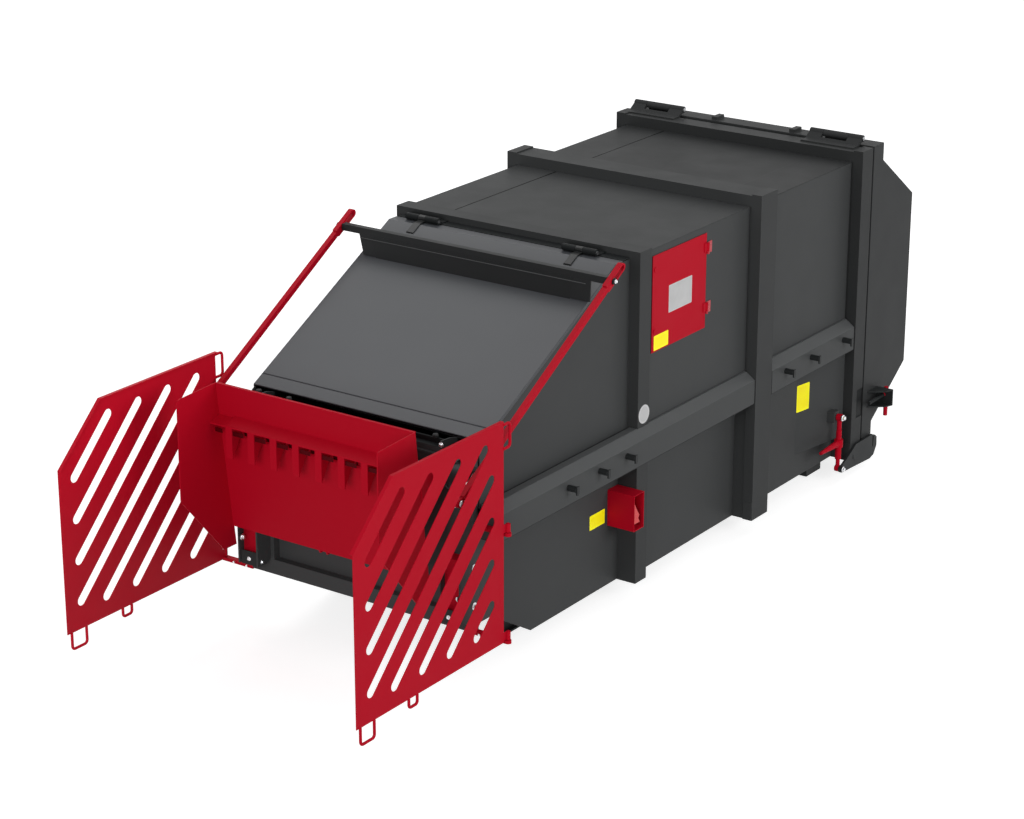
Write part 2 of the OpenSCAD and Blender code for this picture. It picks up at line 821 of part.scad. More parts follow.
// A link lying along +X of its own frame, from the lower pin
module link_flat() {
    slot_r = link_pin_d / 2 + link_slot_gap;
    slot_end = link_len + link_travel - 10;
    slot_start = slot_end - link_travel;
    head_back = link_len - 70;
    difference() {
        union() {
            cube_centred(60, head_back, link_s);
            translate([head_back - 1, -link_s / 2, -link_head_w / 2])
                cube([slot_end - head_back + 1, link_s, link_head_w]);
            translate([slot_end, -link_s / 2, 0]) rotate([-90, 0, 0])
                cylinder(d = link_head_w, h = link_s);
            cube_centred(0, 62, link_s - 8);
            cube_centred(40, link_sleeve_l, link_s + 4);
            rotate([-90, 0, 0]) translate([0, 0, -link_s / 2]) cylinder(d = 56, h = link_s);
        }
        translate([slot_start, -link_s, -slot_r]) cube([link_travel, 2 * link_s, 2 * slot_r]);
        for (x = [slot_start, slot_end])
            translate([x, -link_s, 0]) rotate([-90, 0, 0]) cylinder(r = slot_r, h = 2 * link_s);
        translate([0, -link_s, 0]) rotate([-90, 0, 0])
            cylinder(d = crank_pin_d + 2 * run_gap, h = 2 * link_s);
        translate([80, -link_s / 2 + link_wall, -link_s / 2 + link_wall])
            cube([head_back - 90, link_s - 2 * link_wall, link_s - 2 * link_wall]);
    }
}

module cube_centred(x0, x1, s) {
    translate([x0, -s / 2, -s / 2]) cube([x1 - x0, s, s]);
}

module link() {
    translate([link_x, crank_pin_y, crank_pin_z]) rotate([0, 0, 90]) rotate([0, -link_tilt, 0])
        link_flat();
}

module link_right() {
    color(signal_red) link();
}

module link_left() {
    color(signal_red) mirror([1, 0, 0]) link();
}

// ---- Bin lifter ----

bearing_x = [690, 800];
bearing_t = 22;
arm_x = 740;
arm_t = 20;
actuator_x = [826, 976];
actuator_d = 150;
crank_x = 984;
crank_t = 34;

module lifter_bearings() {
    color(dark_grey) difference() {
        both_sides() for (x = bearing_x) {
            side_plate(x, bearing_t, [
                [-press_l, lift_z - 110], [-press_l, lift_z + 90],
                [lift_axis_y, lift_z + 60], [lift_axis_y, lift_z - 60]]);
            rod_x(x, x + bearing_t, lift_axis_y, lift_z, 120);
        }
        rod_x(-rail_x, rail_x, lift_axis_y, lift_z, lift_shaft_d + 2 * run_gap);
    }
}

module rotary_actuators() {
    foot_x = end_post_x;
    color(dark_grey) difference() {
        both_sides() {
            rod_x(actuator_x[0], actuator_x[1], lift_axis_y, lift_z, actuator_d);
            for (x = [actuator_x[0], actuator_x[1] - 14])
                rod_x(x, x + 14, lift_axis_y, lift_z, actuator_d + 16);
            block([actuator_x[0], lift_axis_y, lift_z - 60], [foot_x, -press_l, lift_z + 60]);
        }
        rod_x(-rail_x, rail_x, lift_axis_y, lift_z, lift_shaft_d + 2 * run_gap);
    }
}

module lifter_shaft() {
    r = 40;
    color(bright_steel) rod_x(-crank_x, crank_x, lift_axis_y, lift_z, lift_shaft_d);
    color(signal_red) both_sides() {
        rod_x(crank_x, crank_x + crank_t, lift_axis_y, lift_z, 110);
        side_plate(crank_x, crank_t, [
            [lift_axis_y, lift_z + r], [lift_axis_y, lift_z - r - 6],
            [crank_pin_y, crank_pin_z - r + 6], [crank_pin_y, crank_pin_z + r - 8]]);
        rod_x(crank_x, crank_x + crank_t, crank_pin_y, crank_pin_z, 66);
    }
    color(bright_steel) both_sides()
        end_pin(crank_x + crank_t, crank_pin_y, crank_pin_z, crank_pin_d);
}

cheek_x = lifter_w / 2;
// Distance in front of the hoop of the back plate's rear face at height z
function back_y(z) = -(lifter_low_y + (z - lifter_low_z) * tan(lifter_tilt));
back_t = lifter_t / cos(lifter_tilt);

module lifter_back() {
    flange = 14;
    color(signal_red) difference() {
        union() {
            side_plate(-cheek_x + lifter_t, 2 * (cheek_x - lifter_t), [
                [back_y(lifter_low_z), lifter_low_z], [back_y(lifter_top_z), lifter_top_z],
                [back_y(lifter_top_z) - back_t, lifter_top_z],
                [back_y(lifter_low_z) - back_t, lifter_low_z]]);
            block([-cheek_x + lifter_t, back_y(lifter_top_z) - 1, lifter_top_z - lifter_t],
                  [cheek_x - lifter_t, back_y(lifter_top_z) + flange, lifter_top_z]);
        }
        for (i = [0 : comb_n - 1])
            block([comb_notch_x(i) + 10, back_y(comb_hole_z[0]) - 40, comb_hole_z[0]],
                  [comb_notch_x(i) + comb_slot_w - 10, back_y(comb_hole_z[1]) + 40, comb_hole_z[1]]);
    }
}

cheek_top_r = 20;
cheek_low_z = 657;

module lifter_cheeks() {
    color(signal_red) both_sides() translate([cheek_x - lifter_t, 0, 0])
        rotate([90, 0, 90]) linear_extrude(lifter_t) union() {
            polygon([
                [back_y(lifter_low_z), lifter_low_z], [back_y(lifter_top_z), lifter_top_z],
                [-cheek_y + cheek_top_r, lifter_top_z - 14],
                [-cheek_y + cheek_top_r, lifter_top_z - 14 - cheek_top_r],
                [-cheek_y, lifter_top_z - 14 - cheek_top_r],
                [-cheek_y, 1093], [-2050, cheek_low_z], [back_y(cheek_low_z), cheek_low_z]]);
            translate([-cheek_y + cheek_top_r, lifter_top_z - 14 - cheek_top_r]) circle(cheek_top_r);
        }
}

comb_y = 2137;
comb_top_z = 1521;
comb_low_z = 1318;
comb_flange_rise = 24;
comb_t = 8;
comb_hole_z = [1440, 1484];
comb_foot_t = 4;

// Left edge of notch i
function comb_notch_x(i) = (i - (comb_n - 1) / 2) * comb_pitch - comb_slot_w / 2;

module lifter_comb() {
    tooth_w = comb_pitch - comb_slot_w;
    x_end = comb_notch_x(comb_n - 1) + comb_pitch;
    face_y = -comb_y;
    flange_z = comb_top_z + (back_y(comb_top_z) - back_t - face_y) * tan(comb_flange_rise);
    root_y = back_y(flange_z) - back_t - seat_gap;
    rib_top_y = back_y(comb_top_z) - back_t - seat_gap;
    foot_top_z = comb_hole_z[0] - 10;
    color(signal_red) {
        // Sloping flange over all the notches
        side_plate(-x_end, 2 * x_end, [
            [face_y, comb_top_z], [root_y, flange_z], [root_y, flange_z - comb_t],
            [face_y, comb_top_z - comb_t]]);
        // Teeth folded from the flange, each with a rib on both edges
        for (i = [0 : comb_n]) {
            x = comb_notch_x(i) - tooth_w;
            side_plate(x, tooth_w, [
                [face_y, comb_top_z], [face_y, comb_low_z], [face_y + comb_t, comb_low_z],
                [face_y + comb_t, comb_top_z]]);
            for (rib_x = [x, x + tooth_w - comb_t])
                side_plate(rib_x, comb_t, [
                    [face_y + 1, comb_top_z - 1], [face_y + 1, comb_low_z],
                    [rib_top_y, comb_top_z - 60], [rib_top_y, comb_top_z - 1]]);
        }
        // Doubler under the notches
        side_plate(-x_end, 2 * x_end, [
            [back_y(comb_low_z) - back_t - seat_gap, comb_low_z],
            [back_y(comb_low_z) - back_t - comb_foot_t, comb_low_z],
            [back_y(foot_top_z) - back_t - comb_foot_t, foot_top_z],
            [back_y(foot_top_z) - back_t - seat_gap, foot_top_z]]);
    }
}

module lifter_arms() {
    x_in = 300;
    color(signal_red) difference() {
        both_sides() for (x = [x_in, arm_x]) {
            side_plate(x, arm_t, [
                [lift_axis_y + 30, lift_z + 45], [lift_axis_y + 30, lift_z - 45],
                [back_y(lift_z - 190) + seat_gap, lift_z - 190],
                [back_y(lift_z + 60) + seat_gap, lift_z + 60]]);
            rod_x(x, x + arm_t, lift_axis_y, lift_z, 116);
        }
        rod_x(-rail_x, rail_x, lift_axis_y, lift_z, lift_shaft_d);
    }
}

stop_d = 85;
stop_z = [528, 860];

module lifter_stops() {
    color(signal_red) both_sides()
        block([fork_x[0] + fork_t, -press_l - stop_d, stop_z[0]], [fork_x[1], -press_l, stop_z[1]]);
}

// ---- Side gates ----

gate_hinge_x = gate_x + 6;
gate_hinge_y = -gate_rear_y + 35;
knuckle_d = 30;
knuckle_h = 56;
hinge_seat = 5;
hinge_low_z = press_nose_z + 13 + hinge_seat;
hinge_high_z = 1080;
bracket_t = 22;
bracket_eye_d = 40;

module gate_bracket(z, x_in, y_back) {
    top = z - hinge_seat;
    block([x_in, gate_hinge_y - bracket_eye_d / 2, top - bracket_t], [gate_hinge_x, y_back, top]);
    rod_z(top - bracket_t, top, gate_hinge_x, gate_hinge_y, bracket_eye_d);
    rod_z(top - 1, z + knuckle_h, gate_hinge_x, gate_hinge_y, gate_pin_d);
}

module gate_brackets() {
    color(signal_red) both_sides() {
        gate_bracket(hinge_low_z, end_post_x, -press_l + 44);
        gate_bracket(hinge_high_z, rail_standoff_x + 30, rail_front_y);
    }
}

// A bent round bar standing out along +X by d, h high, from the origin up
module bar_loop(d, h, bar, bend) {
    for (z = [bar / 2, h - bar / 2])
        translate([0, 0, z]) rotate([0, 90, 0]) cylinder(d = bar, h = d - bend);
    translate([d, 0, bend + bar / 2]) cylinder(d = bar, h = h - 2 * bend - bar);
    translate([d - bend, 0, bend + bar / 2]) rotate([90, 0, 0])
        rotate([0, 0, -90]) rotate_extrude(angle = 90) translate([bend, 0]) circle(d = bar);
    translate([d - bend, 0, h - bend - bar / 2]) rotate([90, 0, 0])
        rotate_extrude(angle = 90) translate([bend, 0]) circle(d = bar);
}

gate_outline = [
    [-gate_rear_y, gate_z], [-gate_rear_y, gate_z + gate_h],
    [-gate_front_y + gate_cut_l, gate_z + gate_h],
    [-gate_front_y, gate_z + gate_h - gate_cut_h], [-gate_front_y, gate_z]
];

// How much wider the plain border is in front of and below the slots
slot_extra = 11;
// How far the row of slots sits rearward of the middle of its field
slot_shift = 79;

// One slot of the gate, its centre line clipped to the slotted field
module gate_slot(i) {
    r = gate_slot_w / 2;
    y0 = -gate_front_y + gate_border + slot_extra + r;
    y1 = -gate_rear_y - gate_border - r;
    z0 = gate_z + gate_border + slot_extra + r;
    z1 = gate_z + gate_h - gate_border - r;
    k = tan(gate_slot_slope);
    // Where the centre line would meet the lower limit of the field
    foot = (y0 + y1) / 2 - (z1 - z0) / (2 * k) + slot_shift
        + (i - (gate_slot_n - 1) / 2) * gate_slot_pitch;
    ya = max(foot, y0);
    yb = min(foot + (z1 - z0) / k, y1);
    za = z0 + (ya - foot) * k;
    l = (yb - ya) / cos(gate_slot_slope);
    if (l > gate_slot_w) translate([ya, za]) rotate(gate_slot_slope) {
        translate([0, -r]) square([l, gate_slot_w]);
        circle(r);
        translate([l, 0]) circle(r);
    }
}

// A folded edge from point a to point b of the outline, l long
module gate_edge(a, b) {
    l = norm(b - a);
    turn = atan2(b[1] - a[1], b[0] - a[0]);
    translate([0, a[0], a[1]]) rotate([turn, 0, 0])
        translate([gate_x - gate_fold, 0, -gate_t]) cube([gate_fold - gate_t + 0.5, l, gate_t]);
}

module gate() {
    bar = 18;
    difference() {
        union() {
            translate([gate_x - gate_t, 0, 0]) rotate([90, 0, 90]) linear_extrude(gate_t)
                difference() {
                    polygon(gate_outline);
                    for (i = [0 : gate_slot_n - 1]) gate_slot(i);
                }
            block([gate_x - gate_fold, -gate_front_y + gate_cut_l, gate_z + gate_h - gate_t],
                  [gate_x - gate_t + 0.5, -gate_rear_y, gate_z + gate_h]);
            intersection() {
                gate_edge(gate_outline[3], gate_outline[2]);
                side_plate(gate_x - gate_fold, gate_fold, gate_outline);
            }
            for (z = [hinge_low_z, hinge_high_z]) {
                rod_z(z, z + knuckle_h - 4, gate_hinge_x, gate_hinge_y, knuckle_d);
                block([gate_x - gate_t, -gate_rear_y - 1, z],
                      [gate_x, gate_hinge_y, z + knuckle_h - 4]);
            }
            translate([gate_x - gate_t / 2, -gate_rear_y, 1597]) rotate([0, 0, 90])
                bar_loop(65, 167, bar, 22);
            translate([gate_x - gate_t / 2, -gate_front_y + 100, gate_z])
                rotate([0, 0, 90]) rotate([0, 90, 0]) translate([0, 0, -72])
                bar_loop(108, 144, bar, 22);
            translate([gate_x - gate_t / 2, -gate_front_y + 474, gate_z])
                rotate([0, 0, 90]) rotate([0, 90, 0]) bar_loop(57, 97, bar, 20);
        }
        for (z = [hinge_low_z, hinge_high_z])
            rod_z(z - 1, z + knuckle_h + 1, gate_hinge_x, gate_hinge_y, gate_pin_d + 2 * run_gap);
    }
}

module gate_right() {
    color(signal_red) gate();
}

module gate_left() {
    color(signal_red) mirror([1, 0, 0]) gate();
}

// ---- Power pack ----

cabinet_back_x = upper_x - sheet - cabinet_d;
cabinet_sheet = 3;

module power_cabinet() {
    e = cabinet_edge;
    color(dark_grey) difference() {
        block([cabinet_back_x, cabinet_y + 5, cabinet_z + 5],
              [upper_x - sheet, cabinet_y + cabinet_l - 5, cabinet_z + cabinet_h - 5]);
        block([cabinet_back_x + cabinet_sheet, cabinet_y + e, cabinet_z + e],
              [upper_x, cabinet_y + cabinet_l - e, cabinet_z + cabinet_h - e]);
    }
}

pack_x = cabinet_back_x + cabinet_sheet;
pack_y = cabinet_y + cabinet_edge;
pack_z = cabinet_z + cabinet_edge;

module oil_tank() {
    color(machine_blue) {
        block([pack_x, pack_y + 20, pack_z], [pack_x + 250, pack_y + 360, pack_z + 260]);
        rod_z(pack_z + 260, pack_z + 285, pack_x + 70, pack_y + 70, 60);
    }
}

module pump_motor() {
    y = pack_y + 240;
    x = pack_x + 130;
    color(machine_blue) {
        rod_z(pack_z + 260, pack_z + 290, x, y, 200);
        rod_z(pack_z + 290, pack_z + 500, x, y, 170);
        for (a = [0 : 15 : 345])
            translate([x, y, pack_z + 300]) rotate([0, 0, a])
                translate([80, -2, 0]) cube([16, 4, 180]);
        rod_z(pack_z + 500, pack_z + 530, x, y, 150);
    }
}

module valve_block() {
    color(bright_steel) {
        block([pack_x + 40, pack_y + 380, pack_z], [pack_x + 160, pack_y + 470, pack_z + 150]);
        for (z = [40, 110]) rod_x(pack_x + 160, pack_x + 220, pack_y + 425, pack_z + z, 40);
    }
}

module control_box() {
    color(body_grey) {
        block([pack_x, pack_y + 400, pack_z + 200], [pack_x + 150, pack_y + 615, pack_z + 540]);
        block([pack_x + 150, pack_y + 408, pack_z + 208], [pack_x + 162, pack_y + 607, pack_z + 532]);
        for (z = [300, 370, 440]) rod_x(pack_x + 162, pack_x + 176, pack_y + 480, pack_z + z, 26);
    }
}

cab_hinge_x = upper_x + 12;
cab_hinge_y = cabinet_y + cabinet_l + 9;
cab_hinge_z = [cabinet_z + 110, cabinet_z + cabinet_h - 125];
cab_leaf_l = 60;
cab_leaf_t = 4;
cab_lock_d = 34;
cab_hinge_h = 60;
cab_knuckle_d = 18;
cab_pin_d = 8;

module cabinet_door() {
    t = 5;
    color(signal_red) difference() {
        union() {
            block([upper_x + 1, cabinet_y, cabinet_z],
                  [upper_x + 1 + t, cabinet_y + cabinet_l, cabinet_z + cabinet_h]);
            for (z = cab_hinge_z) {
                rod_z(z, z + cab_hinge_h, cab_hinge_x, cab_hinge_y, cab_knuckle_d);
                block([upper_x + 1, cabinet_y + cabinet_l - 30, z],
                      [cab_hinge_x, cab_hinge_y - 6, z + cab_hinge_h]);
            }
            for (z = cab_hinge_z)
                rod_x(upper_x + t, upper_x + 1 + t + 5, cabinet_y + 34, z + cab_hinge_h / 2, cab_lock_d);
        }
        for (z = cab_hinge_z)
            rod_z(z - 1, z + cab_hinge_h + 1, cab_hinge_x, cab_hinge_y, cab_pin_d + 2 * run_gap);
    }
}

// ---- Mains inlet ----

socket_y = -118;
socket_l = 116;
socket_z = 536;
socket_h = 246;
socket_out = 1010;
socket_t = 5;

module socket_box() {
    t = socket_t;
    y1 = socket_y + socket_l;
    color(signal_red) {
        difference() {
            block([press_low_x, socket_y, socket_z], [socket_out, y1, socket_z + socket_h]);
            block([press_low_x + t, socket_y + t, socket_z + t],
                  [socket_out + 1, y1 - t, socket_z + socket_h - t]);
        }
        long_bar(socket_y + t - 1, socket_l - 2 * t + 2, [
            [press_low_x + t - 1, socket_z + socket_h - t + 1],
            [press_low_x + t - 1, socket_z + 60], [press_low_x + t + 8, socket_z + 60],
            [socket_out - 40, socket_z + socket_h - t - 10],
            [socket_out - 40, socket_z + socket_h - t + 1]]);
    }
}

module power_inlet() {
    slope = atan2(socket_h - socket_t - 70, socket_out - 48 - press_low_x - socket_t);
    x = (press_low_x + socket_t + 8 + socket_out - 40) / 2;
    z = (socket_z + 60 + socket_z + socket_h - socket_t - 10) / 2;
    color(machine_blue) translate([x, socket_y + socket_l / 2, z]) rotate([0, 90 + 90 - slope, 0]) {
        cylinder(d = 88, h = 8);
        difference() {
            cylinder(d = 66, h = 42);
            translate([0, 0, 12]) cylinder(d = 54, h = 31);
        }
    }
}

// ---- Rear door ----

door_hinge_x = [-778, 699];
door_hinge_w = 418;
door_axis_y = door_y + 15;
door_axis_z = door_top_z + door_hinge_up;
door_pin_d = 28;
door_knuckle_w = 200;
door_ring_w = 120;
door_ring_top = 76;
door_bulge_top_z = door_top_z - 125;
door_bulge_low_z = door_low_z + 110;

// Side outline of the door's bulge, drawn in by the thickness t
function door_outline(t) = [
    [door_frame_y - 1, door_bulge_low_z + t],
    [door_back_y - t, door_bend_low_z + t / 2],
    [door_back_y - t, door_bend_top_z - t / 2],
    [door_frame_y - 1, door_bulge_top_z - t]
];

module door_knuckle(x) {
    rod_x(x - door_knuckle_w / 2, x + door_knuckle_w / 2, door_axis_y, door_axis_z, door_barrel_d);
    side_plate(x - door_knuckle_w / 2, door_knuckle_w, [
        [door_axis_y + 4, door_axis_z + 16], [door_axis_y - 8, door_axis_z - 14],
        [door_axis_y + 10, door_top_z - 1], [door_axis_y + 90, door_top_z - 1],
        [door_axis_y + 90, door_top_z + 10], [door_axis_y + 40, door_top_z + 12]]);
}

module rear_door() {
    t = sheet;
    stop_w = 46;
    color(body_grey) difference() {
        union() {
            difference() {
                union() {
                    block([-door_x, door_y, door_low_z], [door_x, door_frame_y, door_top_z]);
                    side_plate(-door_x, 2 * door_x, door_outline(0));
                }
                block([door_ring_w - door_x, door_y - 1, door_low_z + door_ring_top],
                      [door_x - door_ring_w, door_frame_y - t, door_top_z - door_ring_top]);
                block([door_ring_w - door_x, door_y + t, door_bulge_low_z + 2 * t],
                      [door_x - door_ring_w, door_frame_y + 1, door_bulge_top_z - 2 * t]);
                side_plate(t - door_x, 2 * (door_x - t), door_outline(2 * t));
            }
            for (x = door_hinge_x) door_knuckle(x);
            for (x = [-315, 330])
                block([x - stop_w / 2, door_y + 20, door_top_z - 1],
                      [x + stop_w / 2, door_frame_y - 20, door_top_z + 24]);
        }
        for (x = door_hinge_x)
            rod_x(x - door_hinge_w, x + door_hinge_w, door_axis_y, door_axis_z, door_pin_d + 2 * run_gap);
    }
}

seal_w = 34;
seal_gap = 0.4;

module door_seal() {
    x = door_x - 22;
    z0 = door_low_z + 8;
    z1 = door_top_z - 28;
    color(dark_grey) difference() {
        block([-x, body_l + seal_gap, z0], [x, door_y, z1]);
        block([-x + seal_w, body_l, z0 + seal_w], [x - seal_w, door_y + 1, z1 - seal_w]);
    }
}

// Knuckles and plates that carry the door, welded on the rear hoop
module door_hinge_seat() {
    beam_top = roof_z + beam_h;
    gap = 1;
    for (x = door_hinge_x) difference() {
        union() {
            rod_x(x - door_hinge_w / 2, x + door_hinge_w / 2, door_axis_y, door_axis_z, door_barrel_d);
            side_plate(x - door_hinge_w / 2, door_hinge_w, [
                [door_axis_y, door_axis_z + 18], [door_axis_y - 6, door_axis_z - 16],
                [body_l - 1, beam_top], [body_l - 90, beam_top - 1], [body_l - 90, beam_top + 10],
                [body_l - 20, beam_top + 12]]);
        }
        rod_x(x - door_hinge_w, x + door_hinge_w, door_axis_y, door_axis_z, door_pin_d + 2 * run_gap);
        block([x - door_knuckle_w / 2 - gap, body_l + 1, beam_top - 10],
              [x + door_knuckle_w / 2 + gap, door_axis_y + 60, door_axis_z + 60]);
    }
}

// ---- Door screws ----

screw_x = 1070;
screw_z = 528;
screw_plate_x = 1140;
screw_plate_z = [screw_z - 74, screw_z + 50];
screw_d = 26;
screw_y0 = door_y + 60;
screw_y1 = door_y + 214;
screw_plate_t = 10;
lever_y = screw_y1 + 3;

module screw_bracket() {
    t = screw_plate_t;
    difference() {
        union() {
            for (z = [screw_plate_z[0], screw_plate_z[1] - t]) translate([0, 0, z]) linear_extrude(t)
                polygon([[door_x, screw_y0], [screw_plate_x - 20, screw_y1 - 60],
                         [screw_plate_x, screw_y1], [door_x, screw_y1]]);
            block([door_x, screw_y1 - t, screw_plate_z[0]], [screw_plate_x, screw_y1, screw_plate_z[1]]);
        }
        rod_y(screw_y0, screw_y1 + 1, screw_x, screw_z, screw_d + 2 * run_gap);
    }
}

module screw_brackets() {
    color(dark_grey) both_sides() screw_bracket();
}

module screw_lever() {
    arm_up = 50;
    arm_down = 170;
    color(dark_grey) rod_y(body_l + 16, lever_y, screw_x, screw_z, screw_d);
    color(signal_red) {
        rod_y(lever_y, lever_y + 44, screw_x, screw_z, 50);
        translate([screw_x, lever_y + 22, 0]) {
            translate([0, 0, screw_z]) cylinder(d = 30, h = arm_up);
            translate([0, 0, screw_z - arm_down]) cylinder(d1 = 30, d2 = 36, h = arm_down);
        }
    }
}

module screw_lever_right() {
    screw_lever();
}

module screw_lever_left() {
    mirror([1, 0, 0]) screw_lever();
}

// ---- Door claws and their ratchets ----

claw_x = hoop_x + 2;
claw_t = 16;
claw_pivot_y = body_l - 100;
claw_pivot_z = 117;
claw_pin_d = 24;
claw_bolt_back = 195;
claw_bolt_z = 111;
claw_bolt_d = 20;
claw_bolt_y = claw_pivot_y - claw_bolt_back;
ratchet_x = 988;
ratchet_w = 32;
ratchet_top_y = body_l - 295;
ratchet_top_z = 499;
ratchet_bolt_d = 22;
ratchet_dy = ratchet_top_y - claw_bolt_y;
ratchet_dz = ratchet_top_z - claw_bolt_z;
ratchet_l = sqrt(ratchet_dy * ratchet_dy + ratchet_dz * ratchet_dz);
ratchet_lean = atan2(-ratchet_dy, ratchet_dz);
rod_d = 30;
bolt_head_d = 40;
bolt_head_t = 9;
eye_play = 1.5;

module claw() {
    y = claw_pivot_y;
    z = claw_pivot_z;
    difference() {
        union() {
            side_plate(claw_x, claw_t, [
                [claw_bolt_y - 24, claw_bolt_z + 12], [claw_bolt_y - 20, claw_bolt_z - 16],
                [claw_bolt_y + 6, claw_bolt_z - 30], [y - 60, z - 42],
                [y + 230, z - 58], [y + 288, z - 42], [y + 329, z + 20], [y + 326, z + 84],
                [y + 300, z + 106], [y + 278, z + 100], [y + 276, z + 24], [y + 264, z + 24],
                [y + 262, z + 122], [y + 10, z + 122], [y - 60, z + 82], [y - 110, z + 56]]);
            rod_x(claw_x, claw_x + claw_t, claw_bolt_y, claw_bolt_z, 54);
        }
        rod_x(claw_x - 1, claw_x + claw_t + 1, y, z, claw_pin_d + 2 * run_gap);
        block([claw_x - 1, y - 34, z + 18], [claw_x + claw_t + 1, y - 26, z + 52]);
    }
    rod_x(ratchet_x - 2, claw_x + 1, claw_bolt_y, claw_bolt_z, claw_bolt_d);
    rod_x(claw_x + claw_t - 1, claw_x + claw_t + bolt_head_t, claw_bolt_y, claw_bolt_z, bolt_head_d);
}

module claw_right() {
    color(dark_grey) claw();
}

module claw_left() {
    color(dark_grey) mirror([1, 0, 0]) claw();
}

// Frame of a ratchet: origin at its upper bolt, -Z along it
module ratchet_frame() {
    translate([ratchet_x + ratchet_w / 2, ratchet_top_y, ratchet_top_z])
        rotate([ratchet_lean, 0, 0]) children();
}

// Distances along a ratchet below its upper bolt
shank_end = 98;
shank_d = 34;
spigot_l = 20;
barrel_start = 100;
barrel_end = 316;
hub_at = 196;
rod_start = 168;

module ratchet_eye() {
    ratchet_frame() difference() {
        union() {
            translate([-ratchet_w / 2, 0, 0]) rotate([0, 90, 0]) cylinder(d = 52, h = ratchet_w);
            translate([0, 0, -shank_end]) cylinder(d = shank_d, h = shank_end - 14);
            translate([0, 0, -shank_end - spigot_l]) cylinder(d = rod_d, h = spigot_l + 1);
        }
        translate([-ratchet_w, 0, 0]) rotate([0, 90, 0])
            cylinder(d = ratchet_bolt_d + 2 * slide_gap, h = 2 * ratchet_w);
    }
}

module ratchet_barrel() {
    handle_l = 246;
    ratchet_frame() difference() {
        union() {
            translate([0, 0, -hub_at]) cylinder(d = 40, h = hub_at - barrel_start);
            translate([0, 0, -barrel_end]) cylinder(d = 44, h = barrel_end - hub_at);
            translate([0, 0, -hub_at - 28]) cylinder(d = 64, h = 56);
            translate([0, -16, -hub_at]) rotate([90, 0, 0]) cylinder(d1 = 50, d2 = 24, h = handle_l);
        }
        translate([0, 0, -barrel_end - 1])
            cylinder(d = rod_d + 2 * slide_gap, h = barrel_end - barrel_start + 2);
    }
}

module ratchet_rod() {
    ratchet_frame() difference() {
        union() {
            translate([0, 0, 12 - ratchet_l]) cylinder(d = rod_d, h = ratchet_l - rod_start - 12);
            translate([-ratchet_w / 2, 0, -ratchet_l]) rotate([0, 90, 0])
                cylinder(d = 48, h = ratchet_w);
        }
        translate([-ratchet_w, 0, -ratchet_l]) rotate([0, 90, 0])
            cylinder(d = claw_bolt_d + 2 * eye_play, h = 2 * ratchet_w);
    }
}

module ratchet_eye_right() {
    color(signal_red) ratchet_eye();
}

module ratchet_eye_left() {
    color(signal_red) mirror([1, 0, 0]) ratchet_eye();
}

module ratchet_right() {
    color(signal_red) ratchet_barrel();
}

module ratchet_left() {
    color(signal_red) mirror([1, 0, 0]) ratchet_barrel();
}

module ratchet_rod_right() {
    color(signal_red) ratchet_rod();
}

module ratchet_rod_left() {
    color(signal_red) mirror([1, 0, 0]) ratchet_rod();
}

// Boss on the wall that carries a ratchet's upper bolt
module ratchet_boss() {
    z = ratchet_top_z;
    y = ratchet_top_y;
    block([lower_x, y - 36, z - 40], [ratchet_x - 6, y + 36, z + 40]);
    head_x = ratchet_x + ratchet_w + 2;
    rod_x(ratchet_x - 7, head_x + 1, y, z, ratchet_bolt_d);
    rod_x(head_x, head_x + bolt_head_t, y, z, bolt_head_d);
}

// Lug and pin under the rear post that carry a claw
module claw_pivot() {
    block([hoop_x - 24, claw_pivot_y - 36, claw_pivot_z - 34],
          [hoop_x, claw_pivot_y + 36, base_z + 20]);
    rod_x(hoop_x - 1, claw_x + claw_t + 1, claw_pivot_y, claw_pivot_z, claw_pin_d);
}

// ---- Rollers ----

roller_x = [700, 780];
roller_y = body_l - 240;
roller_z = 58;
roller_d = 110;
axle_d = 30;
cheek_t = 10;
housing_l = 206;
housing_low_z = 8;

// Box over a roller, open below, on a bearer between two cross members
module roller_housing() {
    y0 = roller_y - housing_l / 2;
    y1 = roller_y + housing_l / 2;
    difference() {
        block([roller_x[0], y0, housing_low_z], [roller_x[1], y1, base_z]);
        block([roller_x[0] + cheek_t, y0 + cheek_t, housing_low_z - 1],
              [roller_x[1] - cheek_t, y1 - cheek_t, base_z + 1]);
    }
    block([roller_x[0], y0 - 140, base_z], [roller_x[1], y1 + 90, floor_z]);
    rod_x(roller_x[0], roller_x[1], roller_y, roller_z, axle_d);
}

module roller() {
    color(dark_grey) difference() {
        rod_x(roller_x[0] + cheek_t + 3, roller_x[1] - cheek_t - 3, roller_y, roller_z, roller_d);
        rod_x(roller_x[0], roller_x[1], roller_y, roller_z, axle_d + 2 * run_gap);
    }
}

module roller_right() {
    roller();
}

module roller_left() {
    mirror([1, 0, 0]) roller();
}

// ---- All sub-parts ----

placed() base_frame();
placed() floor_plate();
placed() side_wall_left();
placed() side_wall_right();
placed() roof_panel();
placed() hoop_front();
placed() hoop_mid();
placed() hoop_rear();
placed() side_rail_left();
placed() side_rail_right();
placed() rail_hooks();
placed() press_wall_left();
placed() press_wall_right();
placed() press_end_frame();
placed() loading_chute();
placed() ram_guides();
placed() ram_barrel();
placed() ram_stage();
placed() ram_rod();
placed() press_ram();
placed() top_deck();
placed() hinge_pins();
placed() lid();
placed() crossbar();
placed() lifter_bearings();
placed() rotary_actuators();
placed() lifter_shaft();
placed() lifter_back();
placed() lifter_cheeks();
placed() lifter_comb();
placed() lifter_arms();
placed() lifter_stops();
placed() link_left();
placed() link_right();
placed() gate_brackets();
placed() gate_left();
placed() gate_right();
placed() power_cabinet();
placed() oil_tank();
placed() pump_motor();
placed() valve_block();
placed() control_box();
placed() cabinet_door();
placed() socket_box();
placed() power_inlet();
placed() rear_door();
placed() door_seal();
placed() screw_brackets();
placed() screw_lever_left();
placed() screw_lever_right();
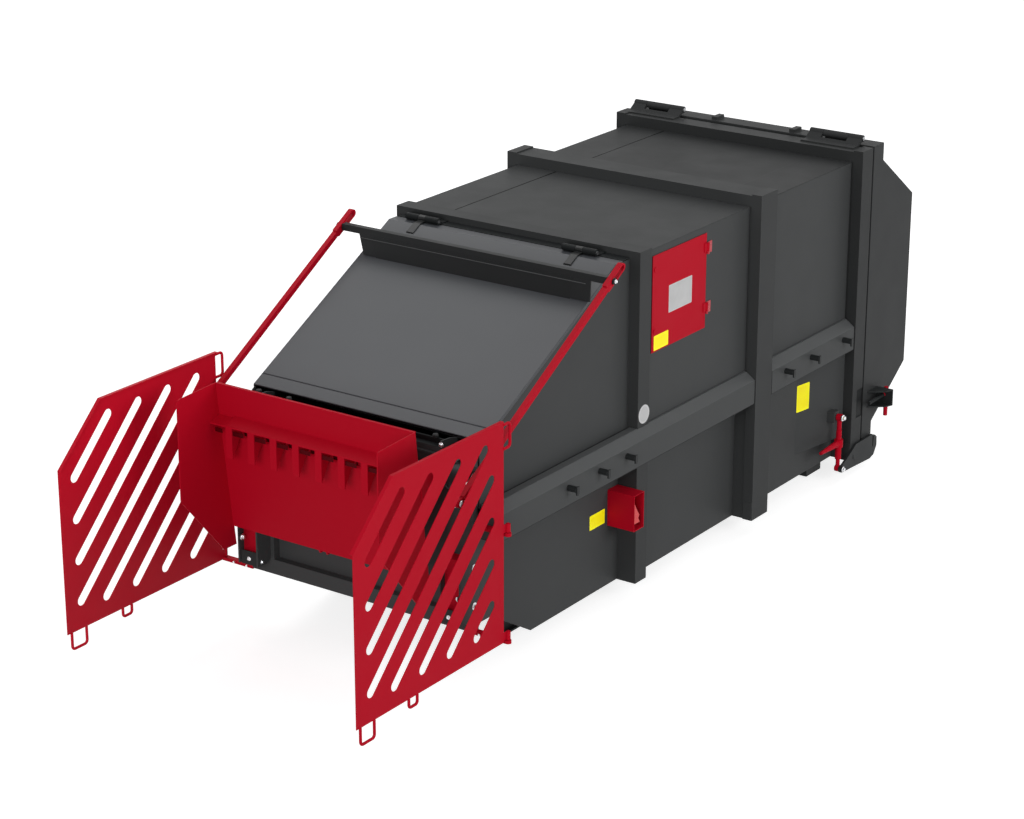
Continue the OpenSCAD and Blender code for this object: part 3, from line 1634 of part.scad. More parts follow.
placed() claw_left();
placed() claw_right();
placed() ratchet_eye_left();
placed() ratchet_eye_right();
placed() ratchet_left();
placed() ratchet_right();
placed() ratchet_rod_left();
placed() ratchet_rod_right();
placed() roller_left();
placed() roller_right();
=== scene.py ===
import json
import math

import bmesh
import bpy
from mathutils import Matrix, Vector


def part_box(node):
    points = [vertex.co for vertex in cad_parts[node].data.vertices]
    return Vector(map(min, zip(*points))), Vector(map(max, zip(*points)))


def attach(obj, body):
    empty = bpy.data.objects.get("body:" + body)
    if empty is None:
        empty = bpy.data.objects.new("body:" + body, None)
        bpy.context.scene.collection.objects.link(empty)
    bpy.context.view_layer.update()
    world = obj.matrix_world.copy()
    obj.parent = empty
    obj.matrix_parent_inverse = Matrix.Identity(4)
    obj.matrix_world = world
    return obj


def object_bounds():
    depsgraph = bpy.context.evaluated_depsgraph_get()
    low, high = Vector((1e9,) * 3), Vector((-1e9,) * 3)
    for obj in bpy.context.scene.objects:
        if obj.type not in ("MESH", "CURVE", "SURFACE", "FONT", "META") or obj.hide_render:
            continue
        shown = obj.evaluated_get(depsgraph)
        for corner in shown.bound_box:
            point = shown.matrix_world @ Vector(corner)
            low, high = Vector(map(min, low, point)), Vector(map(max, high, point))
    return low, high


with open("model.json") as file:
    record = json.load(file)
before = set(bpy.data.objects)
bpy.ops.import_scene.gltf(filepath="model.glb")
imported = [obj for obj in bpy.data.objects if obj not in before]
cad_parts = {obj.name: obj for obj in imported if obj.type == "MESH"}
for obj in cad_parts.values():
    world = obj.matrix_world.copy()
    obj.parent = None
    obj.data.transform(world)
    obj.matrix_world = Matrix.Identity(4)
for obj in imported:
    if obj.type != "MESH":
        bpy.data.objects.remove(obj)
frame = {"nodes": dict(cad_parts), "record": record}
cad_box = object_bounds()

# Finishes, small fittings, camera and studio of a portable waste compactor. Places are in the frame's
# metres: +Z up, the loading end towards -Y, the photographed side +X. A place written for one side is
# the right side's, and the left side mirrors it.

scene = bpy.context.scene
nodes = frame["nodes"]
record = frame["record"]
X, Y, Z = Vector((1, 0, 0)), Vector((0, 1, 0)), Vector((0, 0, 1))
SIDES = (("left", -1), ("right", 1))

# ---------------------------------------------------------------- places

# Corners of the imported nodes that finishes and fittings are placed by
deck_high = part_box("top_deck")[1]
end_low, end_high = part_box("press_end_frame")
rear_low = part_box("hoop_rear")[0]
mid_low, mid_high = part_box("hoop_mid")
front_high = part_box("hoop_front")[1]
wall_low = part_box("side_wall_right")[0]
rail_low, rail_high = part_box("side_rail_right")
press_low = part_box("press_wall_right")[0]
door_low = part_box("cabinet_door")[0]
roof_low, roof_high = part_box("roof_panel")
socket_low, socket_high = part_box("socket_box")
bracket_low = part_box("gate_brackets")[0]
bar_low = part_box("crossbar")[0]
back_low, back_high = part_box("lifter_back")
comb_low, comb_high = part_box("lifter_comb")
actuator_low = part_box("rotary_actuators")[0]

# Painted regions: the lid's hinge straps; painted shade along the roof's left seam; painted light on the
# front edge of the middle hoop; a painted highlight on the slope of the rails, a painted shadow along their
# foot and painted shade in the gap at their end; painted shade in the recess by the rear post; the lip's
# rail, the deck's barrels, the caps of the rear screws, and the hinge of the cabinet's door
LID_HINGE_X = (-0.655, 0.570)
STRAP_W, STRAP_END_Y, STRAP_FOOT_Z = 0.058, -0.495, 2.2
ROOF_SEAM_X, SEAM_SHADE = 0.61, 0.006
HOOP_FRONT_LIGHT_D = 0.012
RAIL_SLOPE_HIGHLIGHT_H, RAIL_FOOT_SHADOW_H, RAIL_GAP_SHADE_D = 0.051, 0.005, 0.012
RAIL_OUTER_X = 1.0
REAR_RECESS_SHADE_LOW, REAR_RECESS_SHADE_HIGH = (1.0, 2.581, 0.43), (None, 2.664, 0.645)
LIP_RAIL_H = 0.033
BARREL_H = 0.046
SCREW_CAP_Y = 2.9
HINGE_REACH, HINGE_BEFORE, HINGE_AFTER, HINGE_Z = 0.08, 0.1, 0.15, (1.6, 2.35)

# Blank labels: a size is the width, the height and the border round the plain field. A place is the
# label's middle, along and up. It's measured from the low corner of the cabinet's door for the labels there
SMALL_LABEL, CABINET_PLATE, REAR_LABEL = (0.172, 0.098, 0.014), (0.278, 0.182, 0.006), (0.138, 0.2, 0.012)
DOOR_LABEL_AT, DOOR_PLATE_AT = (0.112, 0.058), (0.336, 0.311)
PRESS_LABEL_AT = (-0.477, 0.614)
REAR_LABEL_ALONG, REAR_LABEL_Z = 0.074, 0.715
ROUND_LABEL_AT, ROUND_LABEL_R, ROUND_FIELD_R = (-0.169, 1.27), 0.062, 0.05

# Outer faces that carry labels: behind FLARE_Y the side wall flares out by FLARE_RISE for each metre along
SHEET_T = 0.005
PRESS_FACE_X = press_low.x + SHEET_T
FLARE_Y, FLARE_RISE = 1.981, 0.1685

# Bolts
FORK_BOLTS = ((0.864, -1.893, 0.545), (0.864, -1.893, 0.794))
FORK_INNER_BOLT = (0.840, -2.014, 0.628)
TIE_BOLT = (0.775, end_low.y, 0.500)
FOOT_BOLT = (0.705, -1.993, 0.481)
BRACKET_BOLT_X, BRACKET_BOLT_UP = (0.908, 1.014), 0.011
CROSSBAR_BOLT = (1.0725, -0.709, 2.309)
EYE_BOLT = (1.031, 2.368, 0.499)
CLAW_BOLT = (1.049, 2.368, 0.111)

# Comb: its plate leans back with the lifter's back plate
BACK_TILT = 6.9
COMB_TOP_Z, FLANGE_T, ROOT_BACK, ROOT_DROP = 1.521, 0.008, 0.012, 0.006
COMB_PITCH, COMB_NOTCH_W = 0.172, 0.122
SLOT_W, SLOT_GAP = 0.085, 0.001
SLOT_LOW, SLOT_HIGH = (-2.372, 1.468), (-2.369, 1.496)
END_SLOT_X, END_SLOT_W = (-0.715, 0.65), 0.06
BACKING_X, BACKING_T, BACKING_GAP, BACKING_Z = 0.735, 0.003, 0.001, (1.432, 1.492)

# ---------------------------------------------------------------- materials

# Noise scales, in features per metre
SHADE_PATCH, FLECK, SMUDGE, SHEET_WAVE, ORANGE_PEEL = 1.3, 700, 5, 1.1, 480


class Nodes:
    """A small builder for one procedural material."""

    def __init__(self, name):
        self.mat = bpy.data.materials.new(name)
        self.mat.use_nodes = True
        self.tree = self.mat.node_tree
        self.bsdf = self.tree.nodes["Principled BSDF"]
        self.coord = self.tree.nodes.new("ShaderNodeTexCoord")
        self.axes = None

    def link(self, a, b):
        self.tree.links.new(a, b)

    def node(self, kind, **inputs):
        n = self.tree.nodes.new(kind)
        for key, value in inputs.items():
            n.inputs[key].default_value = value
        return n

    def feed(self, value, socket):
        """Sets a socket to a number or a colour, or links another socket to it."""
        if isinstance(value, (int, float)):
            socket.default_value = value
        elif isinstance(value, (tuple, list)):
            socket.default_value = (*value, 1)
        else:
            self.link(value, socket)

    def noise(self, scale, detail, stretch=(1, 1, 1)):
        mapping = self.node("ShaderNodeMapping", Scale=stretch)
        self.link(self.coord.outputs["Object"], mapping.inputs["Vector"])
        n = self.node("ShaderNodeTexNoise", Scale=scale, Detail=detail)
        self.link(mapping.outputs["Vector"], n.inputs["Vector"])
        return n.outputs["Fac"]

    def compute(self, operation, a, b):
        n = self.tree.nodes.new("ShaderNodeMath")
        n.operation = operation
        self.feed(a, n.inputs[0])
        self.feed(b, n.inputs[1])
        return n.outputs[0]

    def inside(self, low, high):
        """1 inside the box from low to high, in the frame's metres; None leaves a side open."""
        if self.axes is None:
            split = self.tree.nodes.new("ShaderNodeSeparateXYZ")
            self.link(self.coord.outputs["Object"], split.inputs[0])
            self.axes = split.outputs
        result = 1.0
        for axis, lo, hi in zip(self.axes, low, high):
            if lo is not None:
                result = self.compute("MULTIPLY", self.compute("GREATER_THAN", axis, lo), result)
            if hi is not None:
                result = self.compute("MULTIPLY", self.compute("LESS_THAN", axis, hi), result)
        return result

    def ramp(self, fac, start, end):
        """A grey ramp between two stops, each a position and a value."""
        r = self.tree.nodes.new("ShaderNodeValToRGB")
        for stop, (position, value) in zip(r.color_ramp.elements, (start, end)):
            stop.position = position
            stop.color = (value, value, value, 1)
        self.link(fac, r.inputs["Fac"])
        return r.outputs["Color"]

    def mix(self, fac, a, b):
        m = self.tree.nodes.new("ShaderNodeMix")
        m.data_type = "RGBA"
        for value, socket in ((fac, m.inputs[0]), (a, m.inputs[6]), (b, m.inputs[7])):
            self.feed(value, socket)
        return m.outputs[2]

    def bump(self, height, strength, distance, normal=None):
        b = self.node("ShaderNodeBump", Strength=strength, Distance=distance)
        self.link(height, b.inputs["Height"])
        if normal:
            self.link(normal, b.inputs["Normal"])
        return b.outputs["Normal"]

    def to(self, name, value):
        self.feed(value, self.bsdf.inputs[name])


def tone(color, k):
    return tuple(min(1.0, c * k) for c in color)


def region(x0=None, x1=None, y0=None, y1=None, z0=None, z1=None):
    """A box of the frame by its two corners, open on every side that isn't given."""
    return (x0, y0, z0), (x1, y1, z1)


def paint(name, color, rough=0.45, gloss=0.05, wave=0.2, shade=0.05, trims=()):
    """Powder coat on sheet steel: faint shade changes, orange peel, and the slow waves of a welded sheet.

    Each trim is (region, colour): a part of the node in another paint.
    """
    m = Nodes(name)
    base = m.mix(m.noise(SHADE_PATCH, 3), tone(color, 1 - shade), tone(color, 1 + shade))
    fleck = m.ramp(m.noise(FLECK, 2), (0.35, 0.0), (0.7, 0.5))
    base = m.mix(fleck, base, tone(color, 1.12))
    for (low, high), other in trims:
        base = m.mix(m.inside(low, high), base, other)
    m.to("Base Color", base)
    m.to("Roughness", m.ramp(m.noise(SMUDGE, 5), (0.3, rough - 0.6 * shade), (0.75, rough + 0.8 * shade)))
    sheet = m.bump(m.noise(SHEET_WAVE, 1.5), wave, 0.012)
    m.to("Normal", m.bump(m.noise(ORANGE_PEEL, 2), 0.1, 0.0005, sheet))
    m.to("Specular IOR Level", gloss)
    return m.mat


def metal(name, color, rough, stretch=(1, 1, 1), scale=60, spots=0.25, painted=None):
    """Bare or plated metal, with a grain along the axis that is stretched least.

    painted is (region, colour): a part of the node that is painted over.
    """
    m = Nodes(name)
    base = m.mix(m.noise(9, 5), tone(color, 1 - spots), color)
    if painted:
        (low, high), other = painted
        covered = m.inside(low, high)
        base = m.mix(covered, base, other)
        m.to("Metallic", m.compute("SUBTRACT", 1.0, covered))
    else:
        m.to("Metallic", 1.0)
    m.to("Base Color", base)
    m.to("Roughness", m.ramp(m.noise(scale, 4, stretch), (0.3, rough * 0.75), (0.75, rough * 1.3)))
    m.to("Normal", m.bump(m.noise(scale * 3, 2, stretch), 0.1, 0.0008))
    return m.mat


def moulded(name, color, rough, grain=220, depth=0.0008, painted_glow=0.0):
    """Rubber, plastic or film with a fine grain; the last argument is a painted glow: an emission that
    brightens the film though it is no lamp.
    """
    m = Nodes(name)
    m.to("Base Color", m.mix(m.noise(14, 5), tone(color, 0.88), tone(color, 1.12)))
    m.to("Roughness", m.ramp(m.noise(24, 4), (0.3, rough - 0.06), (0.7, rough + 0.08)))
    m.to("Normal", m.bump(m.noise(grain, 3), 0.25, depth))
    m.to("Specular IOR Level", 0.3)
    m.to("Emission Color", color)
    m.to("Emission Strength", painted_glow)
    return m.mat


GREY = (0.0555, 0.0575, 0.058)
LID_GREY = (0.0575, 0.0605, 0.0665)
DARK = (0.016, 0.0175, 0.018)
RED = (0.46, 0.003, 0.016)
SALMON = (0.72, 0.11, 0.11)
STEEL = (0.58, 0.59, 0.6)
FILM_GRAIN, FILM_DEPTH = 300, 0.0002

grey = paint("body_paint", GREY)
dark = paint("dark_paint", DARK, 0.5, 0.15, 0.1)
red = paint("red_paint", RED, 0.5, 0.06, 0.12)
blue = paint("blue_paint", (0.05, 0.09, 0.14), 0.4, 0.4)
steel = metal("bright_steel", STEEL, 0.32, (1, 1, 12))
chrome = metal("chrome", (0.75, 0.75, 0.76), 0.08, (1, 30, 1), 40, 0.06)
zinc = metal("zinc", (0.8, 0.81, 0.83), 0.3, (1, 1, 1), 140, 0.15)
rubber = moulded("rubber", (0.012, 0.012, 0.0125), 0.6)
plastic = moulded("plastic", (0.6, 0.09, 0.08), 0.4, 500)
# Painted glow: the yellow labels emit a little light of their own, though they are no lamp
yellow = moulded("label_yellow", (0.95, 0.86, 0.003), 0.5, FILM_GRAIN, FILM_DEPTH, 0.25)
yellow_field = moulded("label_yellow_field", (0.93, 0.8, 0.003), 0.5, FILM_GRAIN, FILM_DEPTH, 0.2)
white = moulded("label_white", (0.62, 0.62, 0.62), 0.5, FILM_GRAIN, FILM_DEPTH)
white_field = moulded("label_white_field", (0.54, 0.54, 0.54), 0.5, FILM_GRAIN, FILM_DEPTH)

SLOTS = {
    "body_paint": grey, "dark_paint": dark, "red_paint": red, "blue_paint": blue,
    "bright_steel": steel, "chrome": chrome, "rubber": rubber, "plastic": plastic,
}

# ---------------------------------------------------------------- finishes of the CAD nodes


def cabinet_hinge():
    """The region round the cabinet door's hinge, whose pins are painted over with the door."""
    x, y = [j for j in record["behaviour"]["joints"] if j["name"] == "cabinet_swing"][0]["pos_m"][:2]
    return region(x - HINGE_REACH, x + HINGE_REACH, y - HINGE_BEFORE, y + HINGE_AFTER, *HINGE_Z)


def special_finishes():
    """The nodes that are painted in another shade than their slot, or in two colours."""
    straps = [
        (region(x - STRAP_W / 2, x + STRAP_W / 2, y0=STRAP_END_Y, z0=STRAP_FOOT_Z), tone(DARK, 0.5))
        for x in LID_HINGE_X]
    rail_gap_shade = {"y0": mid_high.y, "y1": mid_high.y + RAIL_GAP_SHADE_D}
    rail = paint("rail_paint", tone(GREY, 1.14), trims=[
        # Painted highlight: the rail's sloping top is lighter here, standing in for the light that falls on
        # it
        (region(z0=rail_high.z - RAIL_SLOPE_HIGHLIGHT_H), tone(GREY, 1.8)),
        # Painted shadow: a dark strip along the rail's lower edge, for the shade under its overhang
        (region(z1=rail_low.z + RAIL_FOOT_SHADOW_H), tone(DARK, 0.8)),
        # Painted shade: the rail's end is darkened on both sides, in the gap behind the middle hoop
        (region(x0=RAIL_OUTER_X, **rail_gap_shade), tone(DARK, 0.4)),
        (region(x1=-RAIL_OUTER_X, **rail_gap_shade), tone(DARK, 0.4))])
    screw = paint("screw_paint", RED, 0.5, 0.06, 0.12, trims=[
        (region(y1=SCREW_CAP_Y), tone(DARK, 1.2))])
    return {
        "lid": paint("lid_paint", LID_GREY, 0.36, 0.2, 0.06, 0.015, straps),
        "crossbar": paint("crossbar_paint", tone(DARK, 0.9), 0.5, 0.15, 0.1),
        "hoop_front": paint("front_hoop_paint", tone(GREY, 0.78)),
        "hoop_mid": paint("middle_hoop_paint", tone(GREY, 0.74), trims=[
            # Painted light: the hoop's shaded front face is lighter than the rest of the hoop
            (region(y1=mid_low.y + HOOP_FRONT_LIGHT_D), tone(GREY, 0.9))]),
        "roof_panel": paint("roof_paint", tone(GREY, 0.87), trims=[
            (region(y0=mid_low.y), tone(GREY, 0.64)),
            (region(-ROOF_SEAM_X - SEAM_SHADE, -ROOF_SEAM_X + SEAM_SHADE), tone(DARK, 0.3))]),
        "hoop_rear": paint("rear_hoop_paint", tone(GREY, 0.62), trims=[
            # Painted shade: the recess by the rear post is darkened
            ((REAR_RECESS_SHADE_LOW, REAR_RECESS_SHADE_HIGH), tone(DARK, 0.6))]),
        "rear_door": paint("rear_door_paint", tone(GREY, 0.72)),
        "side_rail_left": rail,
        "side_rail_right": rail,
        "gate_left": paint("left_gate_paint", tone(RED, 1.2), 0.45, 0.14, 0.1),
        "top_deck": paint("deck_paint", tone(GREY, 0.7), trims=[
            (region(z0=deck_high.z - BARREL_H), DARK)]),
        "press_end_frame": paint("end_paint", tone(GREY, 1.05), trims=[
            (region(z0=end_high.z - LIP_RAIL_H), tone(DARK, 1.1))]),
        "hinge_pins": metal("pin_steel", STEEL, 0.32, painted=(cabinet_hinge(), RED)),
        "screw_lever_left": screw,
        "screw_lever_right": screw,
    }


def dress():
    """Each CAD node gets its slot's finish, or its own where it has one."""
    special = special_finishes()
    slot_of = {part["node"]: part["material_slot"] for part in record["subparts"]}
    for name, obj in nodes.items():
        obj.data.materials.clear()
        obj.data.materials.append(special.get(name, SLOTS[slot_of[name]]))


FOLD_R, PLATE_R = 0.003, 0.001
FOLDED = ("side_rail_left", "side_rail_right", "side_wall_left", "side_wall_right", "rear_door", "lid")
PLATES = (
    "hoop_front", "hoop_mid", "hoop_rear", "press_end_frame", "crossbar", "lifter_back", "lifter_cheeks",
    "lifter_stops", "gate_left", "gate_right", "cabinet_door", "socket_box", "rail_hooks", "top_deck",
    "gate_brackets", "lifter_arms", "lifter_comb", "screw_brackets")


def soften(name, width):
    """A small round on every sharp edge of a CAD node, as on rolled and painted steel."""
    obj = nodes[name]
    weld = obj.modifiers.new("weld", "WELD")
    weld.merge_threshold = 0.00002
    flat = obj.modifiers.new("flat", "DECIMATE")
    flat.decimate_type = "DISSOLVE"
    flat.angle_limit = math.radians(0.4)
    bevel = obj.modifiers.new("edge", "BEVEL")
    bevel.width = width
    bevel.segments = 2
    bevel.limit_method = "ANGLE"
    bevel.angle_limit = math.radians(30)
    bevel.use_clamp_overlap = False
    bevel.miter_outer = "MITER_ARC"
    normal = obj.modifiers.new("normal", "WEIGHTED_NORMAL")
    normal.keep_sharp = True
    normal.weight = 80


# ---------------------------------------------------------------- shapes of the added pieces


def frame_at(place, axis):
    """A matrix whose local Z is axis, standing at place."""
    z = Vector(axis).normalized()
    x = Z.cross(z)
    if x.length < 1e-6:
        x = X.copy()
    x.normalize()
    m = Matrix((x, z.cross(x), z)).transposed().to_4x4()
    m.translation = place
    return m


def on_side(s, place):
    """The right side's place, carried to side s."""
    x, y, z = place
    return s * x, y, z


def finish_piece(bm, name, body, material):
    """Turns a bmesh into a piece that rides the body; edges over 30 degrees stay sharp."""
    bmesh.ops.remove_doubles(bm, verts=bm.verts, dist=1e-6)
    bmesh.ops.recalc_face_normals(bm, faces=bm.faces)
    mesh = bpy.data.meshes.new(name)
    bm.to_mesh(mesh)
    bm.free()
    mesh.materials.append(material)
    for p in mesh.polygons:
        p.use_smooth = True
    mesh.set_sharp_from_angle(angle=math.radians(30))
    obj = bpy.data.objects.new(name, mesh)
    scene.collection.objects.link(obj)
    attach(obj, body)


def loft(bm, rings):
    """Skins a list of rings of equal length and caps both ends."""
    made = [[bm.verts.new(p) for p in ring] for ring in rings]
    n = len(made[0])
    for a, b in zip(made, made[1:]):
        for i in range(n):
            j = (i + 1) % n
            bm.faces.new((a[i], a[j], b[j], b[i]))
    bm.faces.new(list(reversed(made[0])))
    bm.faces.new(made[-1])


def turned(bm, matrix, profile, sides=32):
    """A solid of revolution from (radius, height) points; six sides make a hexagon."""
    angles = [2 * math.pi * i / sides for i in range(sides)]
    loft(bm, [[matrix @ Vector((r * math.cos(a), r * math.sin(a), h)) for a in angles] for r, h in profile])


def hex_bolt(bm, place, axis, across, washer=True):
    """A hexagon head with its chamfer, on a washer; across is the width across its flats."""
    m = frame_at(place, axis)
    base = 0.0
    if washer:
        base = across * 0.12
        turned(bm, m, [(across * 0.9, 0), (across * 0.9, base * 0.7), (across * 0.86, base)])
    r = across / math.sqrt(3)
    h = across * 0.62
    turned(bm, m, [(r, base), (r, base + h * 0.82), (r * 0.87, base + h)], 6)


def single_bolt(name, body, place, axis, across):
    bm = bmesh.new()
    hex_bolt(bm, place, axis, across)
    finish_piece(bm, name, body, zinc)


def rounded_outline(w, h, r):
    """A rectangle with round corners, centred on the origin."""
    steps = 5
    points = []
    for cx, cy, start in ((w / 2 - r, h / 2 - r, 0), (r - w / 2, h / 2 - r, 90),
                          (r - w / 2, r - h / 2, 180), (w / 2 - r, r - h / 2, 270)):
        for k in range(steps + 1):
            a = math.radians(start + 90 * k / steps)
            points.append((cx + r * math.cos(a), cy + r * math.sin(a)))
    return points


def plate(bm, matrix, w, h, t, r, edge=0.0):
    """A thin plate with round corners; edge chamfers its upper rim."""
    rings = []
    for grow, z in ((0, 0), (0, t - edge), (-edge, t)):
        rings.append([matrix @ Vector((x, y, z)) for x, y in rounded_outline(w + 2 * grow, h + 2 * grow, r)])
    loft(bm, rings)


def block(bm, low, high, edge=0.0015):
    """An upright bar between two corners, in from them by edge on its four sides, with a chamfered top."""
    low, high = Vector(low), Vector(high)
    size = high - low
    m = Matrix.Translation(((low.x + high.x) / 2, (low.y + high.y) / 2, low.z))
    plate(bm, m, size.x - 2 * edge, size.y - 2 * edge, size.z, edge, edge)


# ---------------------------------------------------------------- plain label fields

FILM_T = 0.0008
FIELD_T = FILM_T / 3


def sticker(name, body, place, size, skin, field, normal=X):
    """A blank adhesive label: a bordered field with nothing printed on it."""
    w, h, border = size
    m = frame_at(place, normal)
    bm = bmesh.new()
    plate(bm, m, w, h, FILM_T, 0.006, FIELD_T)
    finish_piece(bm, name, body, skin)
    bm = bmesh.new()
    plate(bm, m @ Matrix.Translation((0, 0, FILM_T)), w - 2 * border, h - 2 * border, FIELD_T, 0.003)
    finish_piece(bm, f"{name}_field", body, field)


def round_sticker(name, body, place, r, field_r):
    """The round blank label, a disc on a wider disc."""
    m = frame_at(place, X)
    bm = bmesh.new()
    turned(bm, m, [(r, 0), (r, FILM_T)], 48)
    finish_piece(bm, name, body, white)
    bm = bmesh.new()
    turned(bm, m @ Matrix.Translation((0, 0, FILM_T)), [(field_r, 0), (field_r, FIELD_T)], 48)
    finish_piece(bm, f"{name}_field", body, white_field)


def labels():
    """Fields of colour where the machine has its labels."""
    for name, (along, up), size, skin, field in (
            ("cabinet_yellow_label", DOOR_LABEL_AT, SMALL_LABEL, yellow, yellow_field),
            ("cabinet_white_plate", DOOR_PLATE_AT, CABINET_PLATE, white, white_field)):
        place = (door_low.x + SHEET_T, door_low.y + along, door_low.z + up)
        sticker(name, "cabinet_door", place, size, skin, field)
    sticker("press_yellow_label", "container", (PRESS_FACE_X, *PRESS_LABEL_AT),
            SMALL_LABEL, yellow, yellow_field)
    flare_x = wall_low.x + SHEET_T + FLARE_RISE * REAR_LABEL_ALONG
    sticker("rear_yellow_label", "container", (flare_x, FLARE_Y + REAR_LABEL_ALONG, REAR_LABEL_Z),
            REAR_LABEL, yellow, yellow_field, (1, -FLARE_RISE, 0))
    round_sticker("round_white_label", "container", (front_high.x, *ROUND_LABEL_AT),
                  ROUND_LABEL_R, ROUND_FIELD_R)


# ---------------------------------------------------------------- fasteners and fittings


def bolts():
    """Plated bolts and washers, on the faces that carry them."""
    for side, s in SIDES:
        bm = bmesh.new()
        for place in FORK_BOLTS:
            hex_bolt(bm, on_side(s, place), s * X, 0.026)
        hex_bolt(bm, on_side(s, FORK_INNER_BOLT), -s * X, 0.024)
        hex_bolt(bm, on_side(s, TIE_BOLT), -Y, 0.015)
        hex_bolt(bm, on_side(s, FOOT_BOLT), -s * X, 0.015)
        for x in BRACKET_BOLT_X:
            place = (s * x, bracket_low.y, bracket_low.z + BRACKET_BOLT_UP)
            hex_bolt(bm, place, -Y, 0.0145, washer=False)
        finish_piece(bm, f"press_bolts_{side}", "container", zinc)
        single_bolt(f"crossbar_bolt_{side}", "lid", on_side(s, CROSSBAR_BOLT), s * X, 0.014)
        single_bolt(f"eye_bolt_{side}", "container", on_side(s, EYE_BOLT), s * X, 0.026)
        single_bolt(f"claw_bolt_{side}", f"claw_{side}", on_side(s, CLAW_BOLT), s * X, 0.022)


def crossbar_sheet():
    """The ends of the crossbar's hanging plate, and the folded lip along its top, coloured light grey as a
    painted highlight along that edge.
    """
    y0, y1 = bar_low.y + 0.002, bar_low.y + 0.01
    top_z, foot_z = 2.287, 2.152
    inner_top_x, inner_foot_x = 0.78, 0.745
    for side, s, top_x, foot_x in (("left", -1, 0.88, 0.848), ("right", 1, 0.905, 0.9)):
        outline = [(inner_top_x, top_z), (top_x, top_z), (foot_x, foot_z), (inner_foot_x, foot_z)]
        bm = bmesh.new()
        loft(bm, [[(s * x, y, z) for x, z in outline] for y in (y0, y1)])
        finish_piece(bm, f"crossbar_wing_{side}", "lid", dark)
    lip_x, lip_d, lip_z = 0.87, 0.004, (2.262, 2.267)
    bm = bmesh.new()
    block(bm, (-lip_x, y0 - lip_d, lip_z[0]), (lip_x, y0, lip_z[1]), 0.0006)
    # Painted highlight: the lip is lighter than the body grey, for the light along the plate's top edge
    finish_piece(bm, "crossbar_lip", "lid", paint("lip_paint", tone(GREY, 1.6)))


def back_plate_y(z):
    """The rear face of the lifter's leaning back plate at height z."""
    return back_high.y - (z - back_low.z) * math.tan(math.radians(BACK_TILT))


def comb_backing(material):
    """A dark strip behind the back plate, seen through its holes under the comb: painted shade for the dark
    behind those holes.
    """
    low_z, high_z = BACKING_Z
    near, far = BACKING_GAP, BACKING_GAP + BACKING_T
    section = [(back_plate_y(z) + gap, z) for z, gap in (
        (low_z, near), (high_z, near), (high_z, far), (low_z, far))]
    bm = bmesh.new()
    loft(bm, [[(x, y, z) for y, z in section] for x in (-BACKING_X, BACKING_X)])
    finish_piece(bm, "comb_backing", "lifter", material)


def comb_ends():
    """The comb's flange carried on to the cheeks, beyond its CAD node."""
    root_y, root_z = comb_high.y - ROOT_BACK, comb_high.z - ROOT_DROP
    section = [(comb_low.y, COMB_TOP_Z), (root_y, root_z),
               (root_y, root_z - FLANGE_T), (comb_low.y, COMB_TOP_Z - FLANGE_T)]
    for side, s in SIDES:
        bm = bmesh.new()
        loft(bm, [[(s * x, y, z) for y, z in section] for x in (comb_high.x, back_high.x - 0.001)])
        finish_piece(bm, f"comb_end_{side}", "lifter", red)


def comb_slots(material):
    """A dark bar under the flange in each of the comb's notches, and a shorter one at each end: painted
    shade in the slots there.
    """
    slots = [(k * COMB_PITCH - COMB_NOTCH_W / 2 + SLOT_GAP, SLOT_W) for k in range(-3, 4)]
    slots += [(x, END_SLOT_W) for x in END_SLOT_X]
    bm = bmesh.new()
    for x, width in slots:
        block(bm, (x, *SLOT_LOW), (x + width, *SLOT_HIGH), 0.001)
    finish_piece(bm, "comb_slots", "lifter", material)


def comb_details():
    """Everything that the comb has beyond its CAD node, with the painted shade in its slots and behind its
    holes.
    """
    # Painted shade: a near-black red for what lies in shade in the comb's slots and behind its holes
    slot_shade = paint("slot_paint", tone(RED, 0.16))
    comb_backing(slot_shade)
    comb_ends()
    comb_slots(slot_shade)


def roof_seam():
    """The right-hand weld of the roof is ground flush and painted over; only the left one shows."""
    half_w, depth = 0.003, 0.003
    x0, x1 = ROOF_SEAM_X - half_w, ROOF_SEAM_X + half_w
    bm = bmesh.new()
    for y0, y1 in ((front_high.y, mid_low.y), (mid_high.y, rear_low.y)):
        block(bm, (x0, y0, roof_low.z + depth), (x1, y1, roof_high.z), 0.0002)
    finish_piece(bm, "roof_weld_right", "container", paint("weld_paint", tone(GREY, 0.9)))


def socket_flap():
    """The inner flap of the power socket's shroud, in its open side."""
    outer, flap_t = socket_high.x - 0.008, 0.004
    outline = [(socket_low.y + 0.01, socket_high.z - 0.05), (socket_high.y - 0.043, socket_low.z + 0.096),
               (socket_high.y - 0.054, socket_low.z + 0.076), (socket_high.y - 0.036, socket_low.z + 0.046),
               (socket_low.y + 0.014, socket_low.z + 0.047)]
    bm = bmesh.new()
    loft(bm, [[(x, y, z) for y, z in outline] for x in (outer - flap_t, outer)])
    finish_piece(bm, "socket_flap", "container", paint("flap_paint", SALMON, 0.5))


def back_lugs():
    """Two lugs with their pin, at the foot of the lifter's back plate."""
    lug_x, half_t = (-0.075, -0.02), 0.006
    sunk, rear, foot_z = back_high.y - 0.002, back_high.y + 0.03, 0.765
    outline = [(sunk, 0.79), (sunk, 0.83), (rear, 0.81), (rear, foot_z), (back_high.y + 0.006, foot_z)]
    bm = bmesh.new()
    for middle in lug_x:
        loft(bm, [[(x, y, z) for y, z in outline] for x in (middle - half_t, middle + half_t)])
    pin_r, pin_end_r = 0.009, 0.008
    pin = frame_at((-0.09, back_high.y + 0.018, 0.782), X)
    turned(bm, pin, [(pin_end_r, 0), (pin_r, 0.002), (pin_r, 0.083), (pin_end_r, 0.085)], 20)
    finish_piece(bm, "back_lugs", "lifter", red)


